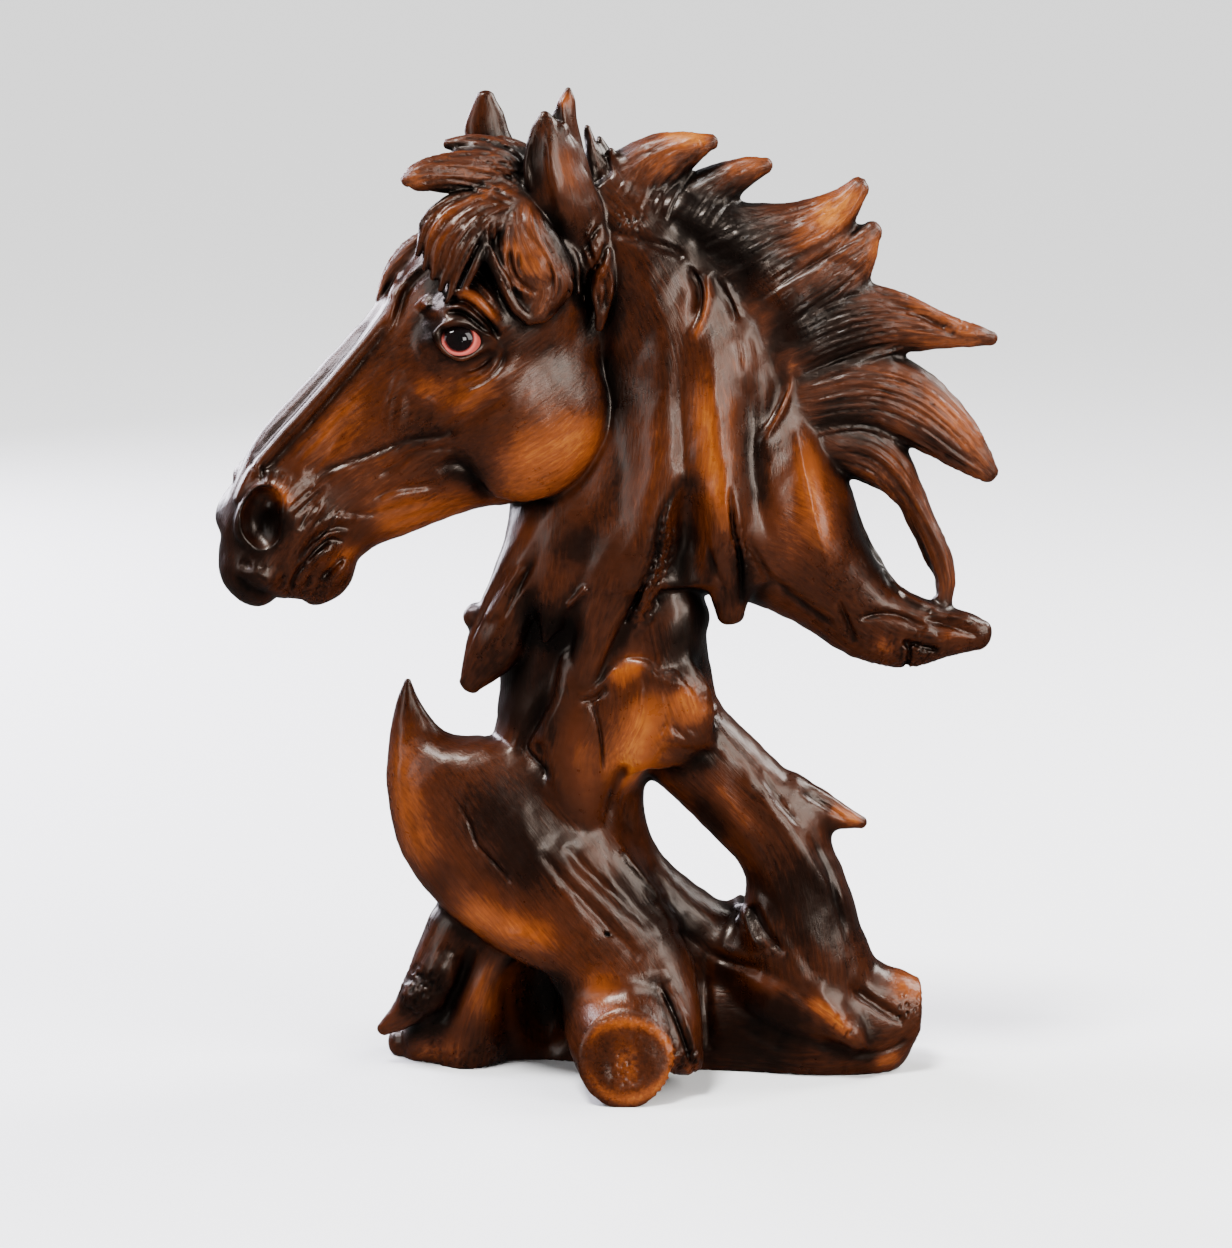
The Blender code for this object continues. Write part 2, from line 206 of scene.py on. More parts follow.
# Front root: u, v, depth, half width, half height of sections that face the viewer
FRONT_ROOT = (
    (586, 925, -20, 76, 60),
    (600, 970, -52, 66, 58),
    (614, 1016, -94, 54, 54),
    (622, 1046, -130, 49, 52),
    (624, 1058, -146, 46, 48),
)

# Locks: blend, strand count, then u, v, depth, half width, half depth along each
MANE = (
    (24, 0, ((590, 202, 0, 20, 30), (628, 206, 0, 24, 34), (668, 212, 0, 27, 36), (708, 230, 0, 30, 38),
             (746, 258, 0, 32, 40), (782, 300, 0, 34, 40), (806, 350, 0, 28, 34))),
    (10, 21, ((600, 240, 10, 32, 28), (626, 192, 0, 38, 30), (662, 160, -6, 28, 21),
              (692, 147, -9, 16, 14), (711, 142, -10, 8, 8))),
    (8, 5, ((600, 196, -8, 20, 18), (592, 158, -10, 11, 12), (587, 128, -12, 3, 4))),
    (8, 5, ((616, 200, 2, 20, 20), (608, 166, 2, 12, 12), (599, 139, 0, 3, 4))),
    (8, 5, ((622, 192, -12, 16, 14), (618, 168, -14, 9, 10), (611, 151, -15, 3, 4))),
    (10, 17, ((650, 262, 10, 38, 30), (690, 208, 4, 32, 26), (728, 180, 2, 19, 18),
              (754, 168, 0, 12, 12), (765, 166, 0, 8, 8))),
    (14, 27, ((680, 300, 0, 56, 38), (750, 252, 0, 50, 38), (800, 234, 0, 34, 30),
              (838, 210, 0, 20, 20), (858, 188, 0, 11, 11))),
    (12, 21, ((745, 322, -2, 54, 38), (812, 278, -2, 48, 34), (852, 252, -2, 29, 23),
              (872, 232, -2, 11, 11))),
    (12, 27, ((780, 350, 0, 50, 38), (848, 322, 0, 44, 32), (898, 324, 0, 31, 24),
              (942, 331, 0, 18, 16), (976, 336, 0, 11, 11), (990, 338, 0, 8, 8))),
    (12, 27, ((780, 400, 0, 52, 38), (858, 388, 0, 44, 32), (904, 402, 0, 39, 25),
              (944, 430, 0, 30, 21), (972, 456, 0, 20, 15), (988, 472, 0, 11, 11))),
    (10, 19, ((826, 430, 0, 38, 32), (880, 458, 0, 30, 26), (906, 490, 0, 17, 18),
              (922, 522, -2, 14, 15), (936, 554, -6, 14, 14), (944, 584, -12, 11, 12),
              (942, 612, -16, 8, 10))),
)
# Fans of strands: how many, lift, then u, v along one edge and along the other
MANE_FANS = (
    (5, 1.1, (584, 140, 592, 170, 606, 200, 632, 226, 668, 246),
             (604, 142, 612, 164, 630, 188, 660, 212, 700, 236)),
    (6, 1.5, (608, 216, 622, 180, 648, 151, 692, 137), (664, 236, 680, 196, 700, 166, 713, 148)),
    (3, 1.4, (588, 190, 586, 160, 587, 131), (622, 196, 618, 170, 612, 150)),
    (4, 0.8, (684, 222, 700, 196, 728, 170, 764, 160), (716, 236, 732, 216, 752, 190, 770, 169)),
    (8, 1.0, (690, 240, 750, 216, 808, 202, 860, 178), (744, 312, 800, 274, 846, 236, 871, 196)),
    (6, 1.5, (754, 302, 806, 268, 846, 246, 877, 230), (800, 324, 846, 292, 868, 270, 874, 262)),
    (10, 1.3, (786, 326, 850, 298, 905, 297, 950, 314, 996, 334),
             (800, 388, 860, 366, 905, 351, 950, 346, 997, 343)),
    (10, 1.6, (796, 388, 868, 371, 922, 384, 966, 424, 998, 474),
             (806, 438, 862, 432, 905, 447, 945, 464, 992, 482)),
    (8, 1.8, (822, 438, 868, 441, 902, 466, 930, 510, 950, 560, 951, 604),
             (838, 472, 868, 484, 890, 510, 910, 545, 930, 585, 940, 606)),
)
MANE_LINES = (
    (6, 4, 884, 290, 910, 298, 935, 311, 960, 328, 990, 336),
    (3, -3, 878, 302, 905, 308, 932, 322, 956, 336),
    (4, 3, 900, 340, 930, 335, 965, 338),
    (5, 3, 800, 250, 830, 236, 852, 214, 864, 188),
    (4, -3, 812, 262, 840, 246, 860, 224, 870, 200),
    (6, -3, 760, 296, 800, 268, 838, 262, 862, 276),
    (6, -4, 800, 372, 860, 350, 900, 345, 920, 350),
    (8, -4, 806, 438, 850, 432, 890, 444, 914, 462),
    (5, 4, 862, 447, 888, 462, 908, 486, 926, 516, 944, 552, 950, 590),
    (6, -4, 896, 496, 916, 530, 930, 566, 936, 596),
)
NECK_STRIPS = (
    (12, 5, ((540, 500, 10, 30, 40), (534, 545, -10, 30, 40), (514, 596, -26, 28, 32),
             (497, 640, -34, 29, 24), (483, 664, -36, 22, 16), (470, 684, -36, 11, 9))),
    (22, 0, ((572, 470, -10, 34, 26), (566, 530, -38, 34, 26), (560, 584, -52, 27, 18),
             (552, 620, -56, 14, 12), (546, 638, -56, 5, 6))),
    (24, 0, ((640, 460, -20, 36, 22), (628, 530, -50, 35, 22), (610, 588, -60, 26, 18),
             (594, 636, -60, 19, 13), (580, 690, -56, 12, 9))),
    (14, 0, ((686, 484, -54, 8, 10), (672, 512, -60, 9, 11), (664, 548, -60, 9, 11),
             (648, 590, -60, 10, 11), (634, 622, -52, 11, 11), (628, 654, -46, 10, 10))),
    (18, 0, ((712, 460, -30, 26, 22), (716, 510, -56, 28, 22), (726, 565, -56, 24, 19),
             (730, 600, -52, 18, 16), (731, 614, -50, 14, 12))),
)
BODY_STRIPS = (
    (12, 5, ((790, 802, -8, 30, 26), (826, 812, -8, 19, 16), (850, 819, -8, 10, 10), (861, 822, -8, 7, 7))),
    (28, 0, ((648, 940, -46, 30, 34), (672, 985, -66, 26, 36), (683, 1025, -86, 22, 40),
             (684, 1058, -98, 19, 36))),
    (16, 0, ((740, 955, -6, 28, 26), (785, 985, -36, 26, 26), (822, 1010, -54, 19, 20),
             (848, 1032, -62, 12, 13), (860, 1043, -64, 6, 7))),
    (30, 0, ((520, 925, -6, 30, 28), (500, 955, -10, 24, 26), (484, 992, -10, 22, 26),
             (472, 1030, -4, 22, 28), (466, 1064, 6, 22, 28))),
    (20, 0, ((455, 930, 0, 30, 30), (438, 962, -6, 26, 26), (424, 990, -12, 23, 22),
             (404, 1014, -12, 15, 14), (384, 1029, -10, 7, 7))),
    (14, 5, ((560, 940, 40, 40, 40), (520, 985, 78, 34, 34), (490, 1020, 108, 24, 24),
             (476, 1040, 126, 12, 12))),
    (14, 5, ((740, 940, 30, 44, 44), (780, 985, 68, 36, 36), (812, 1020, 98, 26, 26),
             (830, 1042, 118, 12, 12))),
)
# Swellings: blend, u, v, depth, half width, half height, half depth
SWELLINGS = (
    (14, 652, 710, -50, 62, 62, 22),
    (14, 576, 744, -46, 36, 100, 24),
    (20, 668, 620, -22, 34, 48, 36),
    (8, 690, 616, -18, 18, 19, 20),
    (5, 477, 617, -26, 14, 14, 13),
    (6, 492, 622, -26, 14, 14, 13),
    (12, 440, 972, -26, 17, 18, 14),
    (12, 424, 996, -26, 19, 14, 13),
    (3, 607, 935, -84, 9, 8, 8),
)

# Head ribs on its middle plane: u, v of the top line, u, v of the under line, half width
SKULL = (
    (560, 200, 600, 420, 46),
    (500, 208, 585, 465, 62),
    (436, 246, 556, 492, 72),
    (396, 282, 518, 502, 70),
    (366, 318, 486, 506, 60),
    (336, 350, 456, 514, 52),
    (306, 382, 428, 525, 46),
    (277, 413, 400, 536, 43),
    (255, 441, 376, 545, 43),
    (241, 469, 356, 560, 44),
    (230, 498, 344, 576, 43),
    (222, 527, 326, 591, 39),
    (226, 555, 300, 598, 31),
    (238, 576, 274, 597, 20),
)
# Rounded masses of both sides: blend, u, v, side, half length, half height, half width
HEAD_MASSES = (
    (10, 530, 418, 44, 84, 80, 34),
    (16, 462, 322, 54, 48, 34, 28),
    (18, 520, 318, 44, 56, 44, 30),
    (12, 268, 512, 30, 38, 28, 18),
)
MIDDLE_MASSES = (
    (5, 247, 474, -24, 14, 12, 13),
    (12, 234, 511, -18, 20, 15, 15),
    (8, 235, 546, -14, 15, 12, 14),
    (16, 452, 262, 0, 70, 40, 52),
    (12, 252, 566, 0, 32, 32, 38),
    (8, 326, 574, 0, 34, 24, 28),
)
NOSTRIL = ((2.5, 264, 524, 56, 21, 33, 36), (2.5, 266, 504, 52, 17, 17, 28), (9, 249, 534, 58, 18, 24, 20))
NOSTRIL_SLOPE = math.radians(10)
# The flat ridge along the nose: u, v, side, half width, half depth
NOSE_RIDGE = (
    (402, 290, 16, 7, 9),
    (383, 322, 22, 8, 11),
    (350, 362, 24, 8, 11),
    (315, 402, 24, 8, 11),
    (282, 438, 23, 8, 11),
    (258, 467, 21, 7, 10),
    (240, 500, 15, 6, 8),
)

# Eye: its middle, its half axes, how far the ball and the lids lie from the skin, and the lids' lines
EYE_U = 460
EYE_V = 341
BALL_AXES = (21, 16, 13)
SOCKET_AXES = (22, 14.5, 14)
SOCKET_RISE = 2
BALL_DEPTH = 8
IRIS_SHIFT = (4.0, 4.8)
IRIS_REACH = 21.5
SIDES_TRIED = (100.0, 30.0, -1.0)
LID_RISE = -1.3
LID_BEND = 0.006
LID_BLEND = 8
LIDS = (
    (2.0, (435, 334), (440, 327), (448, 323), (457, 322), (468, 325), (479, 332), (489, 342), (497, 350)),
    (1.6, (436, 336), (440, 346), (449, 355), (460, 359), (471, 356), (481, 349), (490, 345)),
)
# Locks on the head: blend, strand count, then u, v, side, half width, half depth
FORELOCK = (
    (5, 13, ((520, 205, -40, 30, 26), (470, 222, -48, 26, 22), (436, 250, -50, 18, 16),
             (420, 282, -50, 7, 9))),
    (4, 7, ((450, 236, 6, 18, 14), (412, 256, 0, 15, 12), (390, 278, -6, 9, 9), (379, 300, -8, 4, 4))),
    (14, 11, ((534, 178, -4, 26, 22), (508, 162, 4, 23, 20), (482, 150, 12, 16, 16),
             (460, 144, 10, 10, 10), (448, 144, 10, 5, 6))),
    (12, 9, ((534, 182, 6, 22, 18), (504, 168, 18, 16, 15), (478, 158, 22, 9, 9), (458, 156, 22, 4, 5))),
    (8, 15, ((532, 187, 8, 32, 20), (500, 176, 22, 27, 19), (462, 173, 33, 20, 18),
             (432, 174, 39, 16, 14), (414, 178, 41, 12, 12), (407, 180, 41, 7, 8))),
    (4, 9, ((526, 202, 20, 36, 26), (482, 216, 45, 30, 22), (457, 236, 55, 28, 15), (446, 256, 60, 21, 10),
            (442, 276, 63, 11, 5))),
    (3, 3, ((516, 192, 28, 10, 9), (474, 196, 42, 8, 8), (442, 207, 50, 7, 7), (424, 226, 53, 6, 6),
            (418, 254, 53, 3, 3))),
    (3, 3, ((518, 196, 32, 10, 9), (478, 201, 48, 8, 8), (450, 213, 55, 7, 7), (432, 236, 58, 6, 6),
            (425, 268, 58, 3, 3))),
    (3, 3, ((520, 200, 36, 10, 9), (484, 206, 54, 8, 8), (459, 219, 61, 8, 7), (441, 244, 63, 7, 6),
            (433, 278, 63, 3, 3))),
    (3, 3, ((520, 204, 40, 10, 9), (489, 211, 58, 8, 8), (467, 227, 65, 8, 7), (451, 252, 67, 7, 6),
            (441, 290, 67, 3, 3))),
    (3, 3, ((520, 208, 42, 10, 9), (494, 216, 61, 8, 8), (475, 235, 68, 8, 7), (461, 262, 70, 7, 6),
            (447, 302, 70, 2, 3))),
    (3, 3, ((518, 212, 44, 10, 9), (497, 224, 62, 8, 7), (482, 248, 68, 7, 6), (471, 274, 71, 5, 5),
            (459, 298, 71, 2, 3))),
    (3, 7, ((514, 206, 42, 22, 14), (513, 230, 59, 31, 15), (525, 262, 67, 37, 14),
            (540, 290, 72, 31, 12), (534, 314, 76, 14, 8))),
    (4, 3, ((514, 203, 46, 9, 10), (494, 210, 60, 8, 9), (484, 230, 67, 6, 9), (489, 254, 70, 6, 9),
            (502, 282, 73, 6, 8), (514, 306, 77, 6, 7), (528, 320, 79, 5, 5))),
    (4, 5, ((522, 204, 44, 9, 10), (540, 224, 58, 8, 10), (555, 250, 67, 9, 11), (565, 278, 71, 9, 9),
            (560, 300, 74, 8, 8), (543, 314, 77, 7, 6), (530, 321, 79, 4, 4))),
    (3, 3, ((542, 210, 36, 9, 8), (560, 238, 48, 8, 8), (574, 266, 56, 6, 6), (578, 292, 60, 3, 3))),
    (3, 3, ((556, 222, 38, 9, 8), (574, 248, 48, 7, 7), (586, 274, 54, 5, 5), (586, 300, 58, 3, 3))),
    (4, 5, ((586, 214, 44, 15, 14), (594, 242, 52, 16, 13), (601, 270, 56, 14, 12),
            (601, 300, 59, 10, 10), (599, 328, 60, 4, 4))),
)
# Ears: u, v of the front edge, u, v of the back edge, side, half depth
NEAR_EAR = (
    (540, 114, 549, 113, 47, 3),
    (532, 127, 562, 124, 47, 9),
    (526, 148, 575, 145, 47, 13),
    (523, 172, 586, 168, 48, 16),
    (528, 198, 598, 194, 48, 18),
    (538, 222, 606, 218, 46, 18),
    (552, 246, 612, 240, 40, 17),
)
EAR_LOBE = (
    (565, 90, 571, 90, 38, 3),
    (557, 101, 575, 102, 38, 6),
    (551, 116, 577, 117, 38, 9),
    (549, 140, 581, 140, 38, 11),
    (552, 170, 590, 170, 40, 13),
    (560, 205, 600, 202, 40, 13),
)
FAR_EAR = (
    (476, 97, 495, 97, -50, 7),
    (471, 109, 502, 111, -50, 10),
    (465, 132, 512, 138, -50, 15),
    (474, 168, 530, 168, -48, 17),
    (500, 205, 560, 200, -44, 18),
)
# Carved lines: half width, or one for the left and one for the right of the line, lift, then u, v along it
HEAD_LINES = (
    (7, 5, 444, 294, 454, 289, 468, 293, 480, 302, 491, 314, 503, 334),
    (3, 2.5, 443, 287, 456, 276, 468, 276, 484, 289, 494, 302),
    (2.2, -3, 446, 291, 457, 283, 470, 284, 486, 298, 497, 314),
    (2.2, -2.5, 450, 281, 462, 272, 476, 276, 490, 292),
    (2.5, 2, 452, 272, 466, 267, 480, 272, 494, 288),
    (3.5, -7, 445, 303, 460, 300, 475, 309, 490, 325, 499, 336),
    (2.4, 2.5, 448, 307, 463, 308, 478, 319, 491, 331),
    (2.5, -5, 447, 313, 461, 313, 475, 322, 489, 335),
    (2.2, 3.5, 470, 327, 486, 334, 498, 343),
    (12, -5, 434, 310, 430, 326, 434, 342),
    (7, 4, 421, 299, 428, 308),
    (2.2, -2.5, 496, 348, 491, 358, 480, 367, 468, 371),
    (2.5, 2.5, 494, 347, 491, 361, 478, 371, 462, 377),
    (2.5, -2.5, 506, 350, 498, 368, 482, 382, 464, 388),
    (3, 2, 501, 352, 494, 367, 480, 378, 462, 384),
    (4, 4, 425, 262, 413, 272, 400, 287, 394, 300, 391, 318, 383, 338),
    (4, -3, 432, 268, 419, 280, 406, 294, 400, 310, 396, 325),
    (3, 3, 400, 270, 394, 282, 390, 298),
    (10, 5, 530, 356, 505, 374, 475, 394, 445, 417, 420, 428),
    (7, -4, 505, 394, 472, 415, 445, 430),
    (5, 3, 402, 368, 390, 400, 385, 440),
    (5, 2.5, 404, 388, 400, 415, 398, 438),
    (4, 2, 445, 415, 430, 402, 415, 394, 402, 388),
    (2.2, -2.2, 314, 486, 322, 474, 340, 465, 362, 457, 380, 450, 398, 442, 420, 438, 440, 436, 458, 430),
    (5, 2.5, 330, 478, 352, 469, 380, 460, 410, 449, 440, 444),
    (3, -2.5, 400, 455, 425, 450, 450, 448, 468, 455),
    (7, -6, 436, 470, 450, 462, 464, 464, 476, 478, 490, 500),
    (4, -3, 368, 500, 395, 489, 420, 486, 442, 484),
    (5, 2.5, 372, 508, 400, 498, 430, 494),
    (3.5, -2.5, 376, 476, 395, 466, 412, 454),
    (3.5, -2.5, 345, 512, 370, 514, 400, 508, 430, 500),
    (3, -2, 470, 502, 440, 509, 410, 518, 385, 527),
    (10, 4, 372, 372, 340, 412, 312, 448, 290, 474),
    (6, -3, 352, 418, 325, 455, 306, 478),
    (5, -2, 372, 322, 338, 362, 304, 401, 272, 436, 252, 462),
    (5, -2, 398, 336, 364, 378, 328, 420, 296, 454, 272, 478),
    (12, 4.5, 244, 500, 252, 486, 264, 481, 278, 486, 289, 500, 293, 520, 288, 544, 276, 560),
    (8, 5, 328, 502, 314, 514, 302, 530, 292, 548),
    (3, -3, 318, 502, 306, 518, 298, 532),
    (3, -3.5, 336, 518, 320, 530, 306, 548, 298, 562),
    (4, 3.5, 356, 520, 338, 519, 322, 526, 310, 538),
    (2.5, -2.5, 352, 528, 336, 527, 322, 534, 312, 545),
    (3, 3, 347, 533, 332, 533, 320, 541, 310, 553, 304, 565),
    (2.5, -5, 344, 541, 330, 540, 318, 548, 306, 561, 297, 572, 291, 586, 289, 604),
    (4, 3.5, 336, 548, 320, 556, 306, 569),
    (3, -3, 344, 556, 334, 566, 322, 578),
    (5, 4, 350, 562, 338, 574, 326, 586),
    (3, -2.5, 314, 572, 306, 584, 300, 596),
    (7, 5, 250, 566, 262, 576, 272, 586),
    (4, -3, 240, 560, 252, 568, 266, 568),
    (4, -3, 236, 574, 250, 586, 268, 594),
    (4, -3, 280, 560, 284, 574, 280, 590),
)
HEAD_FANS = (
    (7, 1.5, (254, 462, 258, 480), (326, 488, 294, 516)),
    (4, 1.2, (322, 500, 300, 540), (350, 512, 318, 548)),
)
FORELOCK_FANS = (
    (12, 1.3, (514, 190, 474, 194, 442, 206, 422, 228, 417, 258),
              (520, 214, 498, 226, 486, 250, 476, 274, 464, 300)),
    (4, 1.3, (530, 166, 518, 148, 500, 138, 472, 134, 447, 141),
             (522, 190, 504, 172, 486, 162, 468, 156, 452, 154)),
    (5, 1.2, (524, 184, 502, 166, 476, 158, 448, 158, 424, 165),
             (516, 206, 492, 196, 464, 186, 440, 182, 420, 182)),
    (3, 2.2, (534, 220, 550, 242, 564, 266, 574, 286, 566, 304, 540, 320),
             (522, 224, 538, 244, 548, 262, 554, 282, 548, 300, 532, 314)),
    (4, 1.8, (484, 226, 488, 250, 504, 280, 522, 312), (512, 220, 508, 246, 516, 276, 532, 306)),
)
FORELOCK_LINES = (
    (3.5, 3, 500, 246, 504, 262, 510, 280, 521, 292, 536, 297),
    (3, -5, 509, 250, 510, 266, 516, 279, 526, 287, 538, 293),
    (2.5, 3, 514, 246, 515, 264, 520, 277),
    (2.2, -3.5, 519, 252, 520, 268, 526, 281),
    (10, 4, 534, 248, 540, 266, 538, 284),
    (2.2, -4, 548, 262, 553, 276, 550, 290),
    (8, -2, 490, 224, 491, 240, 498, 256),
    (2.5, -4.5, 602, 221, 592, 236, 587, 248),
    (2.5, 3, 597, 220, 589, 232, 583, 240),
    (3, -5.5, 606, 243, 600, 262, 590, 276, 588, 298, 594, 320),
    (3, 3.5, 611, 248, 606, 266, 597, 280, 594, 298, 598, 318),
    (2.5, 2.5, 606, 262, 613, 282, 609, 304),
    (2.2, -3, 602, 276, 606, 292, 602, 314),
    (2.5, -3, 582, 236, 588, 252, 596, 262),
)
EAR_LINES = (
    ((16, 4.8), 7, 546, 118, 549, 145, 552, 175, 560, 208, 570, 232),
    (8, -5, 537, 134, 533, 162, 538, 190, 550, 215),
    (3, 2, 530, 140, 526, 165, 530, 190),
    (3, -2, 556, 104, 556, 120, 560, 136),
    (3, 2.5, 562, 98, 563, 114, 568, 134),
    (6, -2.5, 572, 150, 582, 175, 592, 200),
)
NECK_LINES = (
    (20, -7, 610, 320, 616, 400, 622, 470, 616, 530, 600, 600),
    (12, -2.5, 604, 510, 584, 560, 560, 620),
    (20, 5, 632, 232, 642, 262, 650, 292, 656, 322, 664, 356, 672, 400, 676, 440),
    (10, -3, 624, 290, 634, 304, 642, 330, 648, 366),
    (24, 5, 660, 360, 657, 450, 644, 515, 614, 600),
    (10, -5, 680, 340, 682, 420, 688, 500),
    (17, 9, 706, 290, 714, 380, 721, 450, 728, 510, 736, 600),
    (12, -8, 750, 340, 752, 430, 757, 500, 774, 560),
    (10, 4, 742, 320, 748, 360, 750, 400),
    (18, 8, 790, 370, 804, 440, 818, 510, 834, 570, 850, 640),
    (3, 2.5, 796, 430, 806, 480, 820, 540, 838, 600),
    ((8, 2), -9, 690, 338, 700, 312, 701, 292, 696, 276, 684, 262),
    (5, 4, 706, 272, 708, 292, 704, 314, 692, 343),
    ((5, 1.5), -5, 738, 322, 732, 304, 722, 286, 714, 274),
    (3, 3, 722, 276, 732, 296, 741, 316),
    ((11, 2.75), -10, 758, 446, 772, 418, 784, 390, 787, 362, 779, 342, 762, 326),
    (4.5, 5, 772, 325, 788, 343, 793, 364, 790, 390, 778, 416, 758, 446),
    (14, -8, 850, 486, 868, 535, 892, 582, 918, 612),
    (4, 4, 868, 525, 885, 566, 908, 596, 940, 610),
    (4, 3, 930, 612, 955, 616, 982, 624),
    (3, -4, 925, 620, 950, 626, 978, 636),
    (3.5, -5, 858, 618, 880, 614, 900, 616, 925, 628),
    (3.5, -6, 902, 640, 918, 645, 940, 650),
    (3, -5, 838, 600, 848, 622, 856, 642),
    (3, -5, 905, 668, 910, 652, 904, 640),
    (3, -3, 770, 575, 800, 600, 835, 625),
    (5, -4, 600, 228, 640, 240, 672, 250, 684, 258),
    (3, -6, 730, 488, 733, 530, 740, 560, 741, 604),
    (4, 3.5, 684, 484, 670, 512, 664, 548, 648, 590, 634, 622),
    (3, -4, 676, 486, 660, 520, 656, 556, 640, 592, 624, 624),
    (3, 2, 738, 500, 742, 540, 748, 580),
    (3, -4, 700, 520, 712, 560, 724, 590),
    (4, -5, 745, 540, 758, 558, 772, 585),
    (3, 4, 587, 588, 576, 598, 566, 608),
    (4, 4, 522, 566, 505, 592, 488, 620),
    (3, -3, 534, 560, 518, 590, 500, 625),
)
# Hollows: blend, u, v, depth, half width, half height, half depth
HOLLOWS = (
    (22, 688, 540, -100, 20, 56, 44),
    (16, 680, 580, -100, 28, 40, 40),
    (8, 569, 630, -80, 11, 20, 18),
    (30, 542, 1014, -30, 36, 64, 62),
    (3, 627, 1061, -170, 44, 39, 20),
    (2, 607, 935, -93, 3.4, 3, 2),
    (3, 930, 1036, -20, 14, 7, 50),
    (3, 912, 1008, -62, 16, 9, 18),
    (3, 926, 982, -50, 9, 6, 30),
)
# Rough places: half width, height of the lumps, then u, v along it
ROUGH = (
    (14, 3.0, 672, 490, 664, 548, 644, 600, 630, 650),
    (22, 2.6, 440, 955, 420, 990, 400, 1020),
    (30, 1.5, 606, 1056, 650, 1072),
    (8, 2.4, 585, 1058, 592, 1034, 628, 1020, 662, 1034, 674, 1060, 660, 1088, 628, 1102, 596, 1090),
    (22, 2.2, 890, 990, 915, 1010, 905, 1040),
    (14, 2.0, 825, 1015, 860, 1042),
    (20, 2.4, 850, 640, 900, 655, 975, 640),
    (14, 2.2, 732, 500, 742, 560, 760, 580),
    (15, 2.6, 606, 218, 652, 228),
    (12, 1.6, 930, 320, 990, 338),
    (12, 1.6, 690, 150, 712, 143),
    (16, 1.8, 400, 1050, 470, 1054, 520, 1050),
    (24, 0.8, 600, 1045, 640, 1070, 660, 1085),
    (12, 2.6, 690, 1040, 694, 1080),
    (16, 1.6, 640, 660, 700, 700, 715, 740),
)
HEAD_ROUGH = (
    (14, 1.6, 580, 235, 604, 290),
    (16, 1.2, 250, 570, 300, 590, 335, 575),
    (10, 1.2, 545, 300, 560, 310),
)
# Sunken areas: lift, softness of the edge, then u, v round the outline
BODY_PLATES = (
    (-6, 2, 858, 622, 880, 617, 898, 636, 906, 652, 897, 663, 872, 656, 856, 640),
    (-4, 2, 918, 624, 940, 621, 952, 634, 944, 646, 920, 646, 912, 636),
)
# Carved lines of the base and trunk
BODY_LINES = (
    (2, -4, 590, 700, 598, 720, 602, 748, 603, 770),
    (5, -5, 540, 742, 545, 762, 549, 780),
    (3, 4, 578, 696, 590, 694, 602, 684, 615, 668),
    (3, -4, 582, 702, 596, 698, 608, 688),
    (2, -3.5, 672, 722, 680, 734, 690, 742),
    (2, 1.5, 676, 718, 686, 730, 696, 738),
    ((9, 2.25), -8, 548, 797, 545, 770, 527, 748, 536, 726, 553, 695, 560, 655, 578, 640),
    (6, 4, 572, 656, 562, 700, 545, 735, 556, 775, 572, 815),
    ((2.5, 12.5), -3, 628, 850, 622, 803, 635, 783, 656, 763, 668, 749, 696, 750, 724, 755),
    ((8, 2.4), -3.5, 598, 692, 612, 668, 628, 657, 650, 660, 658, 672, 675, 668, 690, 685, 705, 710,
     724, 750),
    (9, 5, 610, 684, 630, 670, 650, 674, 664, 682, 680, 684, 694, 706, 706, 732),
    (6, 4, 716, 742, 690, 740, 664, 738, 650, 754, 628, 776, 612, 802),
    (2.2, -2.5, 640, 668, 646, 690, 640, 730),
    (2.2, -2.5, 662, 684, 668, 712, 656, 742),
    (2.2, -4, 455, 797, 470, 824, 478, 846, 494, 862, 512, 884),
    (2.5, 1.5, 461, 794, 481, 832, 497, 858),
    (8, 5, 403, 700, 398, 740, 397, 790, 408, 835, 430, 880, 460, 912, 500, 932),
    (18, -6, 440, 760, 445, 800, 462, 840, 500, 890, 540, 930),
    (14, 5, 500, 780, 530, 840, 575, 905, 600, 955),
    (9, 5, 548, 846, 572, 874, 608, 908, 652, 952),
    (5, -4, 540, 852, 562, 878, 596, 914, 640, 960),
    (5, -3.5, 564, 846, 590, 874, 620, 900, 660, 940),
    (8, 2, 588, 852, 614, 884, 640, 920, 668, 944),
    (8, -2.5, 606, 850, 626, 880, 650, 912, 690, 945),
    (4, 4, 622, 850, 640, 872, 664, 898),
    (8, -2.5, 642, 858, 660, 882, 690, 912),
    (9, 3, 664, 880, 690, 906, 720, 932),
    (8, 4, 826, 842, 842, 880, 856, 930),
    (4, -3, 808, 832, 828, 876, 846, 936),
    (5, -5, 676, 930, 720, 958, 760, 970),
    (8, 4, 486, 945, 512, 936, 545, 946, 568, 974),
    (6, -6, 704, 950, 706, 1000, 710, 1050),
    (5, -6, 850, 985, 872, 1002, 905, 1022),
    (4, -4, 850, 1056, 885, 1050, 912, 1036),
    (7, -3, 472, 945, 460, 985, 444, 1024),
    (12, 6, 722, 735, 760, 790, 800, 850, 840, 900, 850, 940),
    (8, -4, 745, 860, 770, 900, 800, 950, 830, 990),
    (10, 4, 700, 765, 735, 815, 768, 860),
    (6, 5, 740, 905, 748, 930, 760, 950),
    (5, -5, 752, 905, 764, 930, 784, 955),
    (8, -4.5, 735, 960, 790, 985, 850, 1042),
    (6, -3.5, 730, 1000, 780, 1030, 850, 1052),
    (6, 3, 740, 1035, 790, 1060, 840, 1066),
    (2, -4, 660, 984, 680, 1030, 694, 1074),
    (3, 3, 668, 984, 690, 1030, 700, 1070),
    (5, 3, 583, 1050, 598, 1030, 628, 1022, 658, 1034, 672, 1056),
    (3, -3, 800, 790, 826, 806, 846, 820),
    (3, -3, 760, 770, 778, 800, 800, 826),
)
